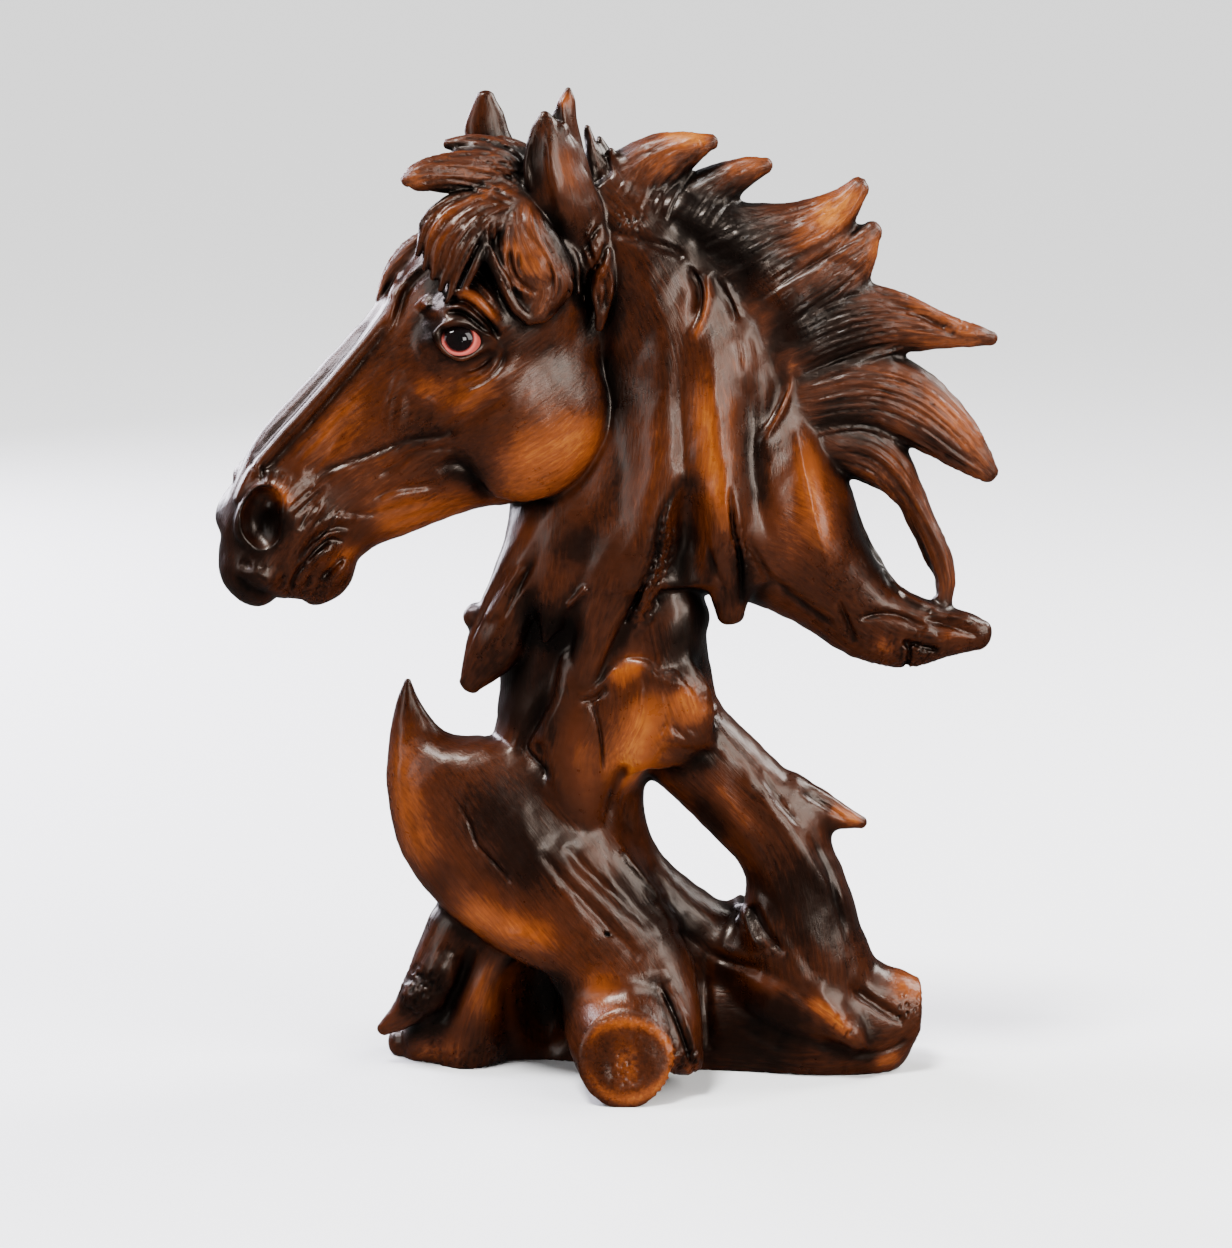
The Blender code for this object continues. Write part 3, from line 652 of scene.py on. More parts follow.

# Colour: half width, how much lighter, then u, v along it. Most patches are the lacquer's own tones; those
# marked below are painted shade or painted light
HEAD_TONES_AND_PAINTED_SHADING = (
    (40, 0.9, 480, 462, 530, 462, 575, 432, 595, 390),
    (16, 0.5, 508, 372, 472, 396, 440, 420),
    (14, 0.45, 408, 395, 430, 388, 456, 396),
    (50, 0.28, 410, 410, 360, 440, 310, 480),
    (18, 0.35, 388, 360, 345, 410, 310, 450, 285, 478),
    (36, 0.2, 440, 482, 395, 490, 350, 508),
    (9, 0.8, 268, 482, 283, 495, 291, 512),
    (22, 0.5, 500, 495, 450, 505, 400, 520, 365, 540),
    (10, 0.7, 355, 538, 342, 560, 322, 576),
    # Painted shade in the long crease across the face
    (5, -0.4, 318, 480, 340, 466, 380, 451, 420, 439, 455, 431),
    # Painted shade in the deep groove along the lower cheek
    (13, -0.55, 436, 462, 465, 470, 488, 496),
    (34, -0.5, 248, 480, 238, 530, 250, 575, 290, 590),
    # Painted shade inside the nostril
    (12, -0.9, 268, 500, 273, 522, 268, 545),
    # Painted shade in the hollow before the eye
    (12, -0.6, 428, 312, 430, 335, 436, 345),
    # Painted shade in the crease under the brow, above the upper lid
    (8, -0.6, 444, 314, 462, 314, 480, 326, 496, 340),
    (12, 0.35, 440, 366, 462, 374, 490, 362),
    (9, 0.8, 446, 294, 468, 298, 488, 312, 504, 328),
    (26, 0.25, 424, 275, 405, 310, 400, 350),
    # Painted highlight on the upper cheek
    (26, 0.35, 512, 348, 530, 380, 540, 412),
    (16, 0.35, 470, 210, 440, 240, 440, 285),
    (30, -0.2, 560, 330, 550, 370, 560, 400),
    (9, 0.45, 512, 195, 466, 202, 436, 222, 424, 260),
    # Painted shade in the gap between the falling forelock and the curl
    (8, -0.7, 478, 222, 486, 258, 508, 308),
    (24, 0.5, 505, 235, 535, 295),
    # Painted shade in the groove inside the curl
    (5, -0.5, 511, 252, 517, 272, 538, 284),
    (9, -0.7, 538, 210, 560, 245, 572, 275),
    # Painted shade in the hollow of the near ear
    (10, -0.7, 536, 130, 531, 165, 536, 200),
    # Partly the lacquer's amber, partly painted light on the lit back of the near ear
    (13, 0.5, 562, 138, 567, 170, 576, 205),
    (9, 0.9, 567, 88, 563, 112),
    (12, 0.35, 488, 98, 488, 125),
    # Painted shade on the shaded left edge of the far ear
    (8, -0.4, 472, 105, 470, 132),
    (12, 0.3, 404, 182, 425, 176),
    (10, 0.4, 594, 240, 602, 275, 600, 310),
)
BODY_TONES_AND_PAINTED_SHADING = (
    (44, -1.0, 640, 196, 720, 236, 770, 290),
    (44, -0.75, 780, 290, 830, 330, 850, 380),
    (34, -0.55, 800, 400, 850, 425, 900, 440),
    (11, 0.9, 650, 139, 690, 137, 717, 143),
    (13, 0.2, 640, 165, 680, 160),
    (9, 0.5, 712, 172, 740, 164, 772, 166),
    (16, 0.75, 804, 220, 840, 204, 864, 180),
    (22, 0.5, 780, 244, 820, 228, 852, 208),
    (8, 0.4, 880, 232, 874, 264),
    (9, 0.45, 890, 294, 940, 316, 996, 338),
    (9, 0.2, 900, 345, 950, 342, 996, 340),
    (12, 0.45, 915, 388, 955, 418, 992, 474),
    (10, -0.4, 900, 420, 940, 446, 975, 470),
    (15, 1.0, 702, 340, 704, 400, 710, 450, 720, 510, 722, 565),
    (10, 0.35, 728, 340, 732, 430, 738, 500),
    (5, 0.8, 708, 274, 707, 308, 693, 344),
    (10, 0.4, 686, 262, 692, 300, 684, 340),
    (20, 0.3, 742, 330, 745, 380),
    (15, 0.75, 800, 400, 808, 460, 820, 520, 838, 590),
    (26, 0.3, 780, 440, 790, 520, 810, 580),
    (4, 0.6, 791, 350, 789, 390, 762, 440),
    # Painted shadow of the cheek on the neck, in the groove behind it
    (14, -0.4, 610, 320, 617, 400, 618, 470, 602, 540),
    (26, 0.2, 655, 380, 655, 470, 640, 550),
    # Painted shade in the recess under the neck
    (12, -0.8, 690, 515, 682, 560, 676, 600),
    # Painted shade in the valley between the neck's columns
    (10, -0.6, 755, 400, 756, 470, 768, 520),
    (12, 0.4, 532, 505, 524, 545, 510, 590),
    (24, -0.4, 588, 520, 572, 570),
    # Painted shade under the hem of the neck
    (18, -0.7, 530, 600, 560, 636, 590, 650),
    # Painted shade in the crack of the lower neck
    (9, -0.7, 738, 540, 744, 580, 738, 612),
    # Painted shade in the valley of the sweep
    (16, -0.6, 848, 490, 872, 545, 900, 592),
    (9, 0.5, 870, 640, 900, 655),
    (9, 0.4, 930, 635, 985, 634),
    # Painted shade on the trunk under the throat flap
    (44, -0.5, 530, 640, 522, 700, 505, 740),
    # Painted shade where the trunk goes in under the neck
    (30, -0.6, 670, 612, 690, 640, 706, 690),
    (15, 0.35, 582, 680, 575, 740, 588, 800, 608, 840),
    (28, 1.0, 638, 680, 646, 715, 628, 765, 610, 805),
    (14, 0.9, 606, 690, 628, 668, 650, 670),
    (17, 0.9, 672, 684, 690, 704, 704, 732),
    # Painted shadow under the lower edge of the bark flap
    (9, -0.4, 668, 756, 700, 760, 724, 764),
    (12, 0.4, 700, 765, 735, 808, 768, 850),
    (9, -0.5, 690, 790, 730, 846),
    (40, -0.5, 770, 850, 815, 910, 830, 960),
    (7, 0.9, 830, 808, 862, 822),
    (19, 0.7, 406, 700, 404, 745, 406, 800, 420, 850, 440, 888),
    (20, 0.8, 436, 880, 480, 915, 530, 935, 575, 955),
    (42, -0.55, 470, 760, 520, 830, 570, 890),
    (28, -0.5, 600, 860, 660, 910, 730, 950),
    (24, 0.7, 592, 955, 604, 1000, 612, 1025),
    (6, 0.85, 585, 1052, 598, 1030, 630, 1022, 660, 1034, 673, 1060, 660, 1086, 628, 1100, 598, 1088,
     584, 1062),
    (24, 0.6, 608, 1062, 644, 1062),
    (8, 0.5, 690, 1060, 694, 1085),
    # Painted shade in the arch between the stump and the front root
    (22, -0.8, 562, 965, 552, 1000, 554, 1048),
    # Partly the stump's own amber, partly painted light on the lit left wall of the arch
    (24, 0.6, 504, 950, 490, 990, 484, 1035),
    (12, 0.5, 408, 1052, 440, 1050, 470, 1050),
    (20, -0.45, 456, 948, 428, 988, 392, 1028),
    (44, -0.6, 716, 1000, 760, 1036, 810, 1062),
    (9, 0.95, 800, 994, 830, 1014, 860, 1044),
    (9, 0.4, 745, 975, 790, 995),
    (22, 0.85, 878, 988, 910, 985, 918, 1012),
    (10, 0.6, 870, 1062, 905, 1054),
)

# Lacquer colours from the darkest, reached by dark stain and by painted shade, to the most worn, which the
# painted highlights also reach
LACQUER_STOPS = (
    (0.0, (0.0014, 0.0004, 0.0002)),
    (0.25, (0.0075, 0.0016, 0.0004)),
    (0.5, (0.040, 0.0074, 0.0008)),
    (0.75, (0.140, 0.029, 0.0018)),
    (1.0, (0.310, 0.098, 0.007)),
)
BASE_LIGHT = 0.20
BASE_ROUGHNESS = 0.12
# Noise: scale, detail, roughness and, where it follows the grain, its stretch
GRAIN = (950, 3, 0.65, (1, 1, 0.08))
STRANDS = (520, 2, 0.5, (1, 1, 0.03))
CLOUDS = (28, 3, 0.6)
SPECKLE = (420, 2, 0.5)
BUMP = {"Strength": 0.4, "Distance": 0.0008}
LACQUER_FINISH = {
    "Specular IOR Level": 0.26,
    "Specular Tint": (1.0, 0.80, 0.66, 1),
    "Coat Weight": 0.10,
    "Coat Roughness": 0.20,
}
# Colours of the eye, from its middle outwards
EYE_STOPS = (
    (0.0, (0.002, 0.002, 0.002)),
    (0.60, (0.004, 0.002, 0.002)),
    (0.66, (0.10, 0.012, 0.010)),
    (0.74, (0.44, 0.095, 0.075)),
    (0.90, (0.26, 0.045, 0.035)),
)

EYE_FINISH = {"Roughness": 0.05, "Specular IOR Level": 0.20}
FLOOR_SIZE = 120
FLOOR_FINISH = {"Base Color": (0.93, 0.93, 0.93, 1), "Roughness": 0.9}

# Softboxes: name, place, width and height, power, colour
SOFTBOXES = (
    ("left", (-1.3, -0.9, 0.8), (0.5, 1.0), 9, (0.95, 0.97, 1.0)),
    ("cool", (-1.2, 0.2, 1.5), (0.5, 0.7), 48, (0.86, 0.85, 1.0)),
    ("behind", (-1.0, 1.3, 0.75), (0.7, 0.9), 50, (0.88, 0.86, 1.0)),
    ("right", (1.25, -0.72, 0.95), (0.5, 1.1), 26, (1.0, 0.98, 0.96)),
    ("back", (1.2, 0.6, 1.15), (0.6, 0.8), 34, (1.0, 0.99, 0.97)),
    ("cheek", (0.92, -1.22, 0.64), (0.3, 0.45), 13, (1.0, 0.98, 0.96)),
    ("front", (0.72, -1.3, 0.24), (0.05, 0.05), 0.35, (1.0, 1.0, 1.0)),
    ("side", (1.3, -0.6, 0.26), (0.05, 0.05), 0.35, (1.0, 1.0, 1.0)),
)
LIT_POINT = (0, 0, 0.2)
SUN_POWER = 6.0
SUN_WIDTH = math.radians(15)
SUN_WAY = (0.25, 0.32, -1.0)
WORLD_LIGHT = {"Color": (1, 1, 1, 1), "Strength": 0.10}

# Where the viewer is and looks, in grid units
EYE = np.array((
    AIM_U - ORIGIN_U,
    -EYE_DISTANCE * math.cos(LOOK_DOWN),
    AIM_HEIGHT + EYE_DISTANCE * math.sin(LOOK_DOWN),
))
VIEW_AHEAD = np.array((0, math.cos(LOOK_DOWN), -math.sin(LOOK_DOWN)))
VIEW_UP = np.array((0, math.sin(LOOK_DOWN), math.cos(LOOK_DOWN)))
DEEP = np.array((0.0, 1.0, 0.0))
HEAD_SIDE = np.array((math.sin(HEAD_TURN), -math.cos(HEAD_TURN), 0))


def unit(vector):
    return vector / np.linalg.norm(vector, axis=-1, keepdims=True)


def seen_on_plane(u, v, point, normal):
    ray = VIEW_AHEAD + VIEW_UP * (AIM_V - v) / EYE_DISTANCE
    ray = ray + np.array(((u - AIM_U) / EYE_DISTANCE, 0, 0))
    return EYE + ray * ((point - EYE) @ normal) / (ray @ normal)


def seen(u, v, depth):
    return seen_on_plane(u, v, DEEP * depth, DEEP)


HEAD_CENTRE = seen(POLL_U, POLL_V, 0)
HEAD_MIRROR = np.eye(3) - 2 * np.outer(HEAD_SIDE, HEAD_SIDE)


def seen_on_head(u, v, side):
    return seen_on_plane(u, v, HEAD_CENTRE + side * HEAD_SIDE, HEAD_SIDE)


def across_head(points):
    return (points - HEAD_CENTRE) @ HEAD_MIRROR + HEAD_CENTRE


def on_grid(points):
    """The u and v at which points show."""
    reach = points - EYE
    ahead = reach @ VIEW_AHEAD
    return AIM_U + reach[:, 0] / ahead * EYE_DISTANCE, AIM_V - (reach @ VIEW_UP) / ahead * EYE_DISTANCE


# Sections: rows of a centre and two half axes

def rib_sections(ribs, place=seen, deep=DEEP):
    rows = []
    for u_one, v_one, u_two, v_two, depth, half_depth in ribs:
        one, two = place(u_one, v_one, depth), place(u_two, v_two, depth)
        rows.append(np.concatenate(((one + two) / 2, (two - one) / 2, deep * half_depth)))
    return np.array(rows)


def path_sections(path, place):
    centres = np.array([place(*station[:3]) for station in path])
    rows = []
    for index, (u, v, depth, half_width, half_depth) in enumerate(path):
        before = centres[max(index - 1, 0)]
        after = centres[min(index + 1, len(centres) - 1)]
        along = unit(after - before)
        across = unit(np.cross(along, unit(EYE - centres[index])))
        deep = unit(np.cross(across, along))
        rows.append(np.concatenate((centres[index], across * half_width, deep * half_depth)))
    return np.array(rows)


def facing_sections(stations):
    rows = []
    for u, v, depth, half_width, half_height in stations:
        wide = np.array((half_width, 0, 0))
        tall = np.array((0, ROOT_LEAN * half_height, half_height))
        rows.append(np.concatenate((seen(u, v, depth), wide, tall)))
    return np.array(rows)


def refined(rows, steps=LOFT_STEPS):
    """The rows with smooth ones added between them, along a Catmull-Rom spline."""
    padded = np.vstack([2 * rows[0] - rows[1], rows, 2 * rows[-1] - rows[-2]])
    smooth = []
    for index in range(1, len(padded) - 2):
        p0, p1, p2, p3 = padded[index - 1:index + 3]
        for step in range(steps):
            t = step / steps
            smooth.append(0.5 * (
                2 * p1 + (p2 - p0) * t + (2 * p0 - 5 * p1 + 4 * p2 - p3) * t ** 2
                + (3 * p1 - p0 - 3 * p2 + p3) * t ** 3
            ))
    smooth.append(rows[-1])
    return np.array(smooth)


# The clay: sample points, their distances so far, and where they show, with the far side folded over

def eased(value, low, high):
    share = np.clip((value - low) / (high - low), 0, 1)
    return share * share * (3 - 2 * share)


def new_clay(points, tracked=False):
    clay = {"points": points, "distance": np.full(len(points), FAR_OFF)}
    for name, side, way in (("body", -points[:, 1], -DEEP),
                            ("head", (points - HEAD_CENTRE) @ HEAD_SIDE, HEAD_SIDE)):
        folded = points + np.outer(np.abs(side) - side, way)
        fade = eased(side, 0, FOLD) + FAR_SHARE * eased(-side, 0, FOLD)
        clay[name] = (*on_grid(folded), fade)
    if tracked:
        clay["flow"] = np.zeros((len(points), 4))
    return clay


def layer(clay):
    fresh = dict(clay, distance=np.full(len(clay["points"]), FAR_OFF))
    if "flow" in clay:
        fresh["flow"] = clay["flow"].copy()
    return fresh


def within(clay, low, high):
    points = clay["points"]
    return np.flatnonzero(np.all((points > low) & (points < high), axis=1))


def merge(clay, index, distance, blend, flow=None):
    here = clay["distance"][index]
    share = np.clip(0.5 + 0.5 * (here - distance) / blend, 0, 1)
    clay["distance"][index] = here * (1 - share) + distance * share - blend * share * (1 - share)
    if flow is not None:
        clay["flow"][index] = np.where((share > 0.5)[:, None], flow, clay["flow"][index])


def carve(clay, index, distance, blend):
    here = clay["distance"][index]
    share = np.clip(0.5 - 0.5 * (here + distance) / blend, 0, 1)
    clay["distance"][index] = here * (1 - share) - distance * share + blend * share * (1 - share)


def join(clay, piece, blend):
    index = np.flatnonzero(piece["distance"] < clay["distance"] + blend)
    flow = piece["flow"][index] if "flow" in clay else None
    merge(clay, index, piece["distance"][index], blend, flow)


def strand_relief(angle, along, count, seed):
    """Rounded strands with sharp valleys round a lock, from about -0.6 to 0.4."""
    chance = np.random.default_rng(seed)
    turn = chance.uniform(0, 2 * math.pi, 6)
    bend = 1.6 * np.sin(angle + turn[0] + 2 * along) + 1.1 * np.sin(2 * angle + turn[1] - 3 * along)
    first = np.abs(np.sin(0.25 * count * angle + bend + turn[2]))
    second = np.abs(np.sin(0.5 * count * angle + 1.4 * bend + turn[3] + 1.5 * along))
    third = np.abs(np.sin(count * angle + 2 * bend + turn[4] - 2 * along))
    strong = 0.6 + 0.4 * np.sin(2 * angle + turn[5] + 4 * along)
    return 0.4 * first + 0.35 * strong * second + 0.25 * third - 0.6


def loft_field(points, rows, blunt):
    """Distances to a loft, the angle round it, the share of the way along, thickness and local places."""
    centres, wides, deeps = rows[:, 0:3], rows[:, 3:6], rows[:, 6:9]
    normals = unit(np.cross(wides, deeps))
    forward = np.gradient(centres, axis=0)
    normals = normals * np.sign((normals * forward).sum(axis=1))[:, None]
    ahead = points @ normals.T - (centres * normals).sum(axis=1)
    count = (ahead >= 0).sum(axis=1)
    low = np.clip(count - 1, 0, len(rows) - 2)
    line = np.arange(len(points))
    first, second = ahead[line, low], ahead[line, low + 1]
    gap = first - second
    share = np.clip(first / np.where(np.abs(gap) < 1e-6, 1e-6, gap), 0, 1)
    past = np.where(count == 0, -ahead[:, 0], np.where(count == len(rows), ahead[:, -1], 0))
    past = np.maximum(past, 0)
    here = rows[low] * (1 - share)[:, None] + rows[low + 1] * share[:, None]
    reach = points - here[:, 0:3]
    wide_two = (here[:, 3:6] ** 2).sum(axis=1)
    deep_two = (here[:, 6:9] ** 2).sum(axis=1)
    across = (reach * here[:, 3:6]).sum(axis=1) / wide_two
    through = (reach * here[:, 6:9]).sum(axis=1) / deep_two
    thin = np.sqrt(np.minimum(wide_two, deep_two))
    bulge = thin * (BLUNT_END if blunt else ROUND_END)
    size = np.sqrt(across ** 2 + through ** 2 + (past / bulge) ** 2)
    length = np.sqrt(across ** 2 * wide_two + through ** 2 * deep_two + past ** 2)
    distance = np.where(size < 0.05, -thin, length * (1 - 1 / np.maximum(size, 1e-6)))
    lengths = np.concatenate(([0], np.cumsum(np.linalg.norm(np.diff(centres, axis=0), axis=1))))
    run = lengths[low] * (1 - share) + lengths[low + 1] * share
    local = np.stack((across * np.sqrt(wide_two), through * np.sqrt(deep_two), run), axis=1)
    return distance, np.arctan2(through, across), (low + share) / (len(rows) - 1), thin, local


def add_loft(clay, rows, blend, strands=0, blunt=False, depth=0.12, most=4.0):
    rows = refined(rows)
    reach = np.linalg.norm(rows[:, 3:6], axis=1) + np.linalg.norm(rows[:, 6:9], axis=1)
    reach = reach[:, None] + blend + MARGIN
    low, high = (rows[:, 0:3] - reach).min(axis=0), (rows[:, 0:3] + reach).max(axis=0)
    index = within(clay, low, high)
    if len(index) == 0:
        return
    distance, angle, along, thin, local = loft_field(clay["points"][index], rows, blunt)
    if strands:
        relief = strand_relief(angle, along, strands, int(abs(rows[0, 0] * 7 + rows[0, 2])))
        distance = distance - np.minimum(most, depth * thin) * relief * eased(along, 0, STRAND_START)
    flow = None
    if "flow" in clay:
        local[:, 2] += rows[0, 0] + rows[0, 2]
        flow = np.column_stack((local, np.full(len(local), float(strands > FEW_STRANDS))))
    merge(clay, index, distance, blend, flow)


def add_locks(clay, locks, place=seen, depth=0.12, most=4.0):
    """Adds locks whose strands are a share of their thickness deep, up to the most given."""
    for blend, strands, path in locks:
        add_loft(clay, path_sections(path, place), blend, strands, depth=depth, most=most)


def add_ball(clay, centre, axes, blend, cut=False):
    """Adds or cuts an ellipsoid whose half axes are the rows of axes."""
    reach = np.linalg.norm(axes, axis=1).max() + blend + MARGIN
    index = within(clay, centre - reach, centre + reach)
    offset = clay["points"][index] - centre
    lengths = (axes ** 2).sum(axis=1)
    size = np.sqrt((((offset @ axes.T) / lengths) ** 2).sum(axis=1))
    length = np.linalg.norm(offset, axis=1)
    least = -np.sqrt(lengths.min())
    distance = np.where(size < 0.05, least, length * (1 - 1 / np.maximum(size, 1e-6)))
    if cut:
        carve(clay, index, distance, blend)
    else:
        merge(clay, index, distance, blend)


def add_balls(clay, masses, cut=False):
    for blend, u, v, depth, half_width, half_height, half_depth in masses:
        axes = np.diag((half_width, half_depth, half_height))
        add_ball(clay, seen(u, v, depth), axes, blend, cut)


def head_axes(half_length, half_height, half_width, slope=HEAD_SLOPE):
    along = np.array((
        -math.cos(HEAD_TURN) * math.cos(slope), -math.sin(HEAD_TURN) * math.cos(slope), -math.sin(slope),
    ))
    top = np.cross(along, HEAD_SIDE)
    return np.array((along * half_length, top * half_height, HEAD_SIDE * half_width))


def head_ball(clay, mass, both=True, cut=False, slope=HEAD_SLOPE):
    blend, u, v, side, half_length, half_height, half_width = mass
    axes = head_axes(half_length, half_height, half_width, slope)
    centre = seen_on_head(u, v, side)
    add_ball(clay, centre, axes, blend, cut)
    if both:
        add_ball(clay, centre - 2 * side * HEAD_SIDE, axes, blend, cut)


def nearest_on(path, u, v):
    """Squared distances to a path, which side of it (above zero on the right) and how far along it."""
    away = np.full(len(u), 1e9)
    turn = np.zeros(len(u))
    run = np.zeros(len(u))
    for step in range(len(path) - 1):
        start, way = path[step], path[step + 1] - path[step]
        off_u, off_v = u - start[0], v - start[1]
        share = np.clip((off_u * way[0] + off_v * way[1]) / (way @ way), 0, 1)
        off_u, off_v = off_u - share * way[0], off_v - share * way[1]
        here = off_u ** 2 + off_v ** 2
        closer = here < away
        away = np.where(closer, here, away)
        turn = np.where(closer, way[0] * off_v - way[1] * off_u, turn)
        run = np.where(closer, step + share, run)
    return away, turn, run / (len(path) - 1)


def line_share(u, v, line, near):
    """For the points near a line drawn on the grid: which they are, and how much of it they take."""
    width, _, *spots = line
    left, right = width if isinstance(width, tuple) else (width, width)
    path = refined(np.array(spots, dtype=float).reshape(-1, 2), LINE_STEPS)
    reach = LINE_REACH * max(left, right)
    low, high = path.min(axis=0) - reach, path.max(axis=0) + reach
    index = np.flatnonzero((u > low[0]) & (u < high[0]) & (v > low[1]) & (v < high[1]) & near)
    away, turn, run = nearest_on(path, u[index], v[index])
    half = np.where(turn > 0, right, left)
    ends = np.minimum(run, 1 - run)
    ends = np.sqrt(np.clip(ends / SHORT_END, 0, 1)) if left < BROAD_LINE else eased(ends, 0, LONG_END)
    return index, np.exp(-away / half ** 2) * ends


def fan_lines(fans):
    """Lines for strands that lie side by side between two edges: ridges with grooves between them."""
    chance = np.random.default_rng(FAN_SEED)
    lines = []
    for count, lift, one, two in fans:
        one, two = (np.array(edge, dtype=float).reshape(-1, 2) for edge in (one, two))
        gap = np.linalg.norm(two - one, axis=1).mean() / count
        for step in range(2 * count + 1):
            raised = step % 2
            stray = chance.uniform(-STRAY, STRAY, len(one)) / count
            path = one + (two - one) * (step / (2 * count) + stray)[:, None]
            height = lift * chance.uniform(*FAN_HEIGHTS)
            width = max(THINNEST, gap * (RIDGE_SHARE if raised else GROOVE_SHARE))
            lines.append((width, height if raised else -GROOVE_DEPTH * height, *path.ravel()))
    return lines


def draw_lines(clay, lines, view):
    u, v, fade = clay[view]
    near = np.abs(clay["distance"]) < DRAWN_NEAR
    for line in lines:
        index, share = line_share(u, v, line, near)
        clay["distance"][index] -= line[1] * share * fade[index]


def lumps(points, size):
    """Irregular lumps of about the given size, from about -1 to 1."""
    x, y, z = (points * (2 * math.pi / size)).T
    return 0.6 * np.sin(x + 0.4 * y) * np.sin(0.9 * z - 0.3 * x + 1) + 0.5 * (
        np.sin(1.7 * y + 0.4 * z + 2) * np.sin(1.9 * x - 0.8 * z + 3)
    )


def roughen(clay, lines, view):
    u, v, fade = clay[view]
    near = np.abs(clay["distance"]) < ROUGH_NEAR
    for line in lines:
        index, share = line_share(u, v, line, near)
        spots = clay["points"][index]
        height = np.abs(lumps(spots, LUMP)) + 0.5 * lumps(spots, SMALL_LUMP) - 0.3
        clay["distance"][index] += line[1] * share * height


def draw_plates(clay, plates, view):
    """Lifts or sinks the outlined areas, with crisp edges."""
    u, v, fade = clay[view]
    for lift, soft, *spots in plates:
        outline = np.array(spots, dtype=float).reshape(-1, 2)
        low, high = outline.min(axis=0) - 3 * soft, outline.max(axis=0) + 3 * soft
        index = np.flatnonzero((u > low[0]) & (u < high[0]) & (v > low[1]) & (v < high[1]))
        here_u, here_v = u[index], v[index]
        outline = np.vstack((outline, outline[:1]))
        inside = np.zeros(len(index), dtype=bool)
        for start, end in zip(outline, outline[1:]):
            crosses = (start[1] > here_v) != (end[1] > here_v)
            slope = (end[0] - start[0]) / (end[1] - start[1] if abs(end[1] - start[1]) > 1e-9 else 1e-9)
            inside ^= crosses & (here_u < start[0] + (here_v - start[1]) * slope)
        edge = np.sqrt(nearest_on(outline, here_u, here_v)[0]) * np.where(inside, 1, -1)
        clay["distance"][index] -= lift * eased(edge, -soft, soft) * fade[index]


def skull_form(clay):
    add_loft(clay, rib_sections([(*rib[:4], 0, rib[4]) for rib in SKULL], seen_on_head, HEAD_SIDE), 4)
    for mass in HEAD_MASSES:
        head_ball(clay, mass)
    for mass in MIDDLE_MASSES:
        head_ball(clay, mass, both=False)
    add_loft(clay, path_sections(NOSE_RIDGE, seen_on_head), 5)


def skin_side(u, v):
    """How far the skin of the head lies from its middle plane where it shows at u, v."""
    sides = np.arange(*SIDES_TRIED)
    probe = new_clay(np.array([seen_on_head(u, v, side) for side in sides]))
    skull_form(probe)
    return float(np.interp(0, -probe["distance"], sides))


def head_form(clay):
    skull_form(clay)
    draw_lines(clay, HEAD_LINES, "head")
    draw_lines(clay, fan_lines(HEAD_FANS), "head")
    head_ball(clay, (5, EYE_U, EYE_V, EYE_SIDE + SOCKET_RISE, *SOCKET_AXES), cut=True, slope=0)
    for radius, *spots in LIDS:
        rows = path_sections(
            [(u, v, EYE_SIDE + LID_RISE - LID_BEND * (u - EYE_U) ** 2, radius, radius) for u, v in spots],
            seen_on_head,
        )
        add_loft(clay, rows, LID_BLEND)
        rows = (across_head(rows[:, 0:3]), rows[:, 3:6] @ HEAD_MIRROR, rows[:, 6:9] @ HEAD_MIRROR)
        add_loft(clay, np.concatenate(rows, axis=1), LID_BLEND)
    for hole in NOSTRIL:
        head_ball(clay, hole, cut=True, slope=NOSTRIL_SLOPE)


def ear_form(clay):
    add_loft(clay, rib_sections(NEAR_EAR, seen_on_head, HEAD_SIDE), 3)
    add_loft(clay, rib_sections(EAR_LOBE, seen_on_head, HEAD_SIDE), 2)
    draw_lines(clay, EAR_LINES, "head")
    add_loft(clay, rib_sections(FAR_EAR, seen_on_head, HEAD_SIDE), 3)


def neck_form(clay):
    add_loft(clay, rib_sections(NECK), 6, blunt=True)
    add_loft(clay, rib_sections(SWEEP), 24)
    add_locks(clay, NECK_STRIPS)
    draw_lines(clay, NECK_LINES, "body")


def body_form(clay):
    for ribs, blend in ((TRUNK, 4), (BODY, 14), (RIGHT_LEG, 16), (LEFT_STUMP, 14)):
        add_loft(clay, rib_sections(ribs), blend)
    add_loft(clay, rib_sections(RIGHT_BASE), 12, blunt=True)
    add_loft(clay, rib_sections(HORN_SHEET), 14)
    add_loft(clay, facing_sections(FRONT_ROOT), 24, blunt=True)
    add_locks(clay, BODY_STRIPS)
    add_balls(clay, SWELLINGS)
    draw_plates(clay, BODY_PLATES, "body")
    draw_lines(clay, BODY_LINES, "body")


def mane_form(clay):
    add_locks(clay, MANE, most=2.4)
    draw_lines(clay, MANE_LINES, "body")
    draw_lines(clay, fan_lines(MANE_FANS), "body")


def forelock_form(clay):
    add_locks(clay, FORELOCK, seen_on_head, depth=0.3, most=5.0)
    draw_lines(clay, FORELOCK_LINES, "head")
    draw_lines(clay, fan_lines(FORELOCK_FANS), "head")


def sculpt(points, tracked=False):
    clay = new_clay(points, tracked)
    for form, blend in ((neck_form, 4), (body_form, 6), (head_form, 5), (mane_form, 9),
                        (ear_form, 4), (forelock_form, 3)):
        piece = layer(clay)
        form(piece)
        join(clay, piece, blend)
    add_balls(clay, HOLLOWS, cut=True)
    roughen(clay, ROUGH, "body")
    roughen(clay, HEAD_ROUGH, "head")
    near = np.abs(clay["distance"]) < ROUGH_NEAR
    for height, size in UNEVENNESS:
        clay["distance"][near] += height * lumps(points[near], size)
    clay["distance"] = np.maximum(clay["distance"], -points[:, 2])
    return clay


# Skin

def add_object(name, data):
    thing = bpy.data.objects.new(name, data)
    bpy.context.scene.collection.objects.link(thing)
    return thing


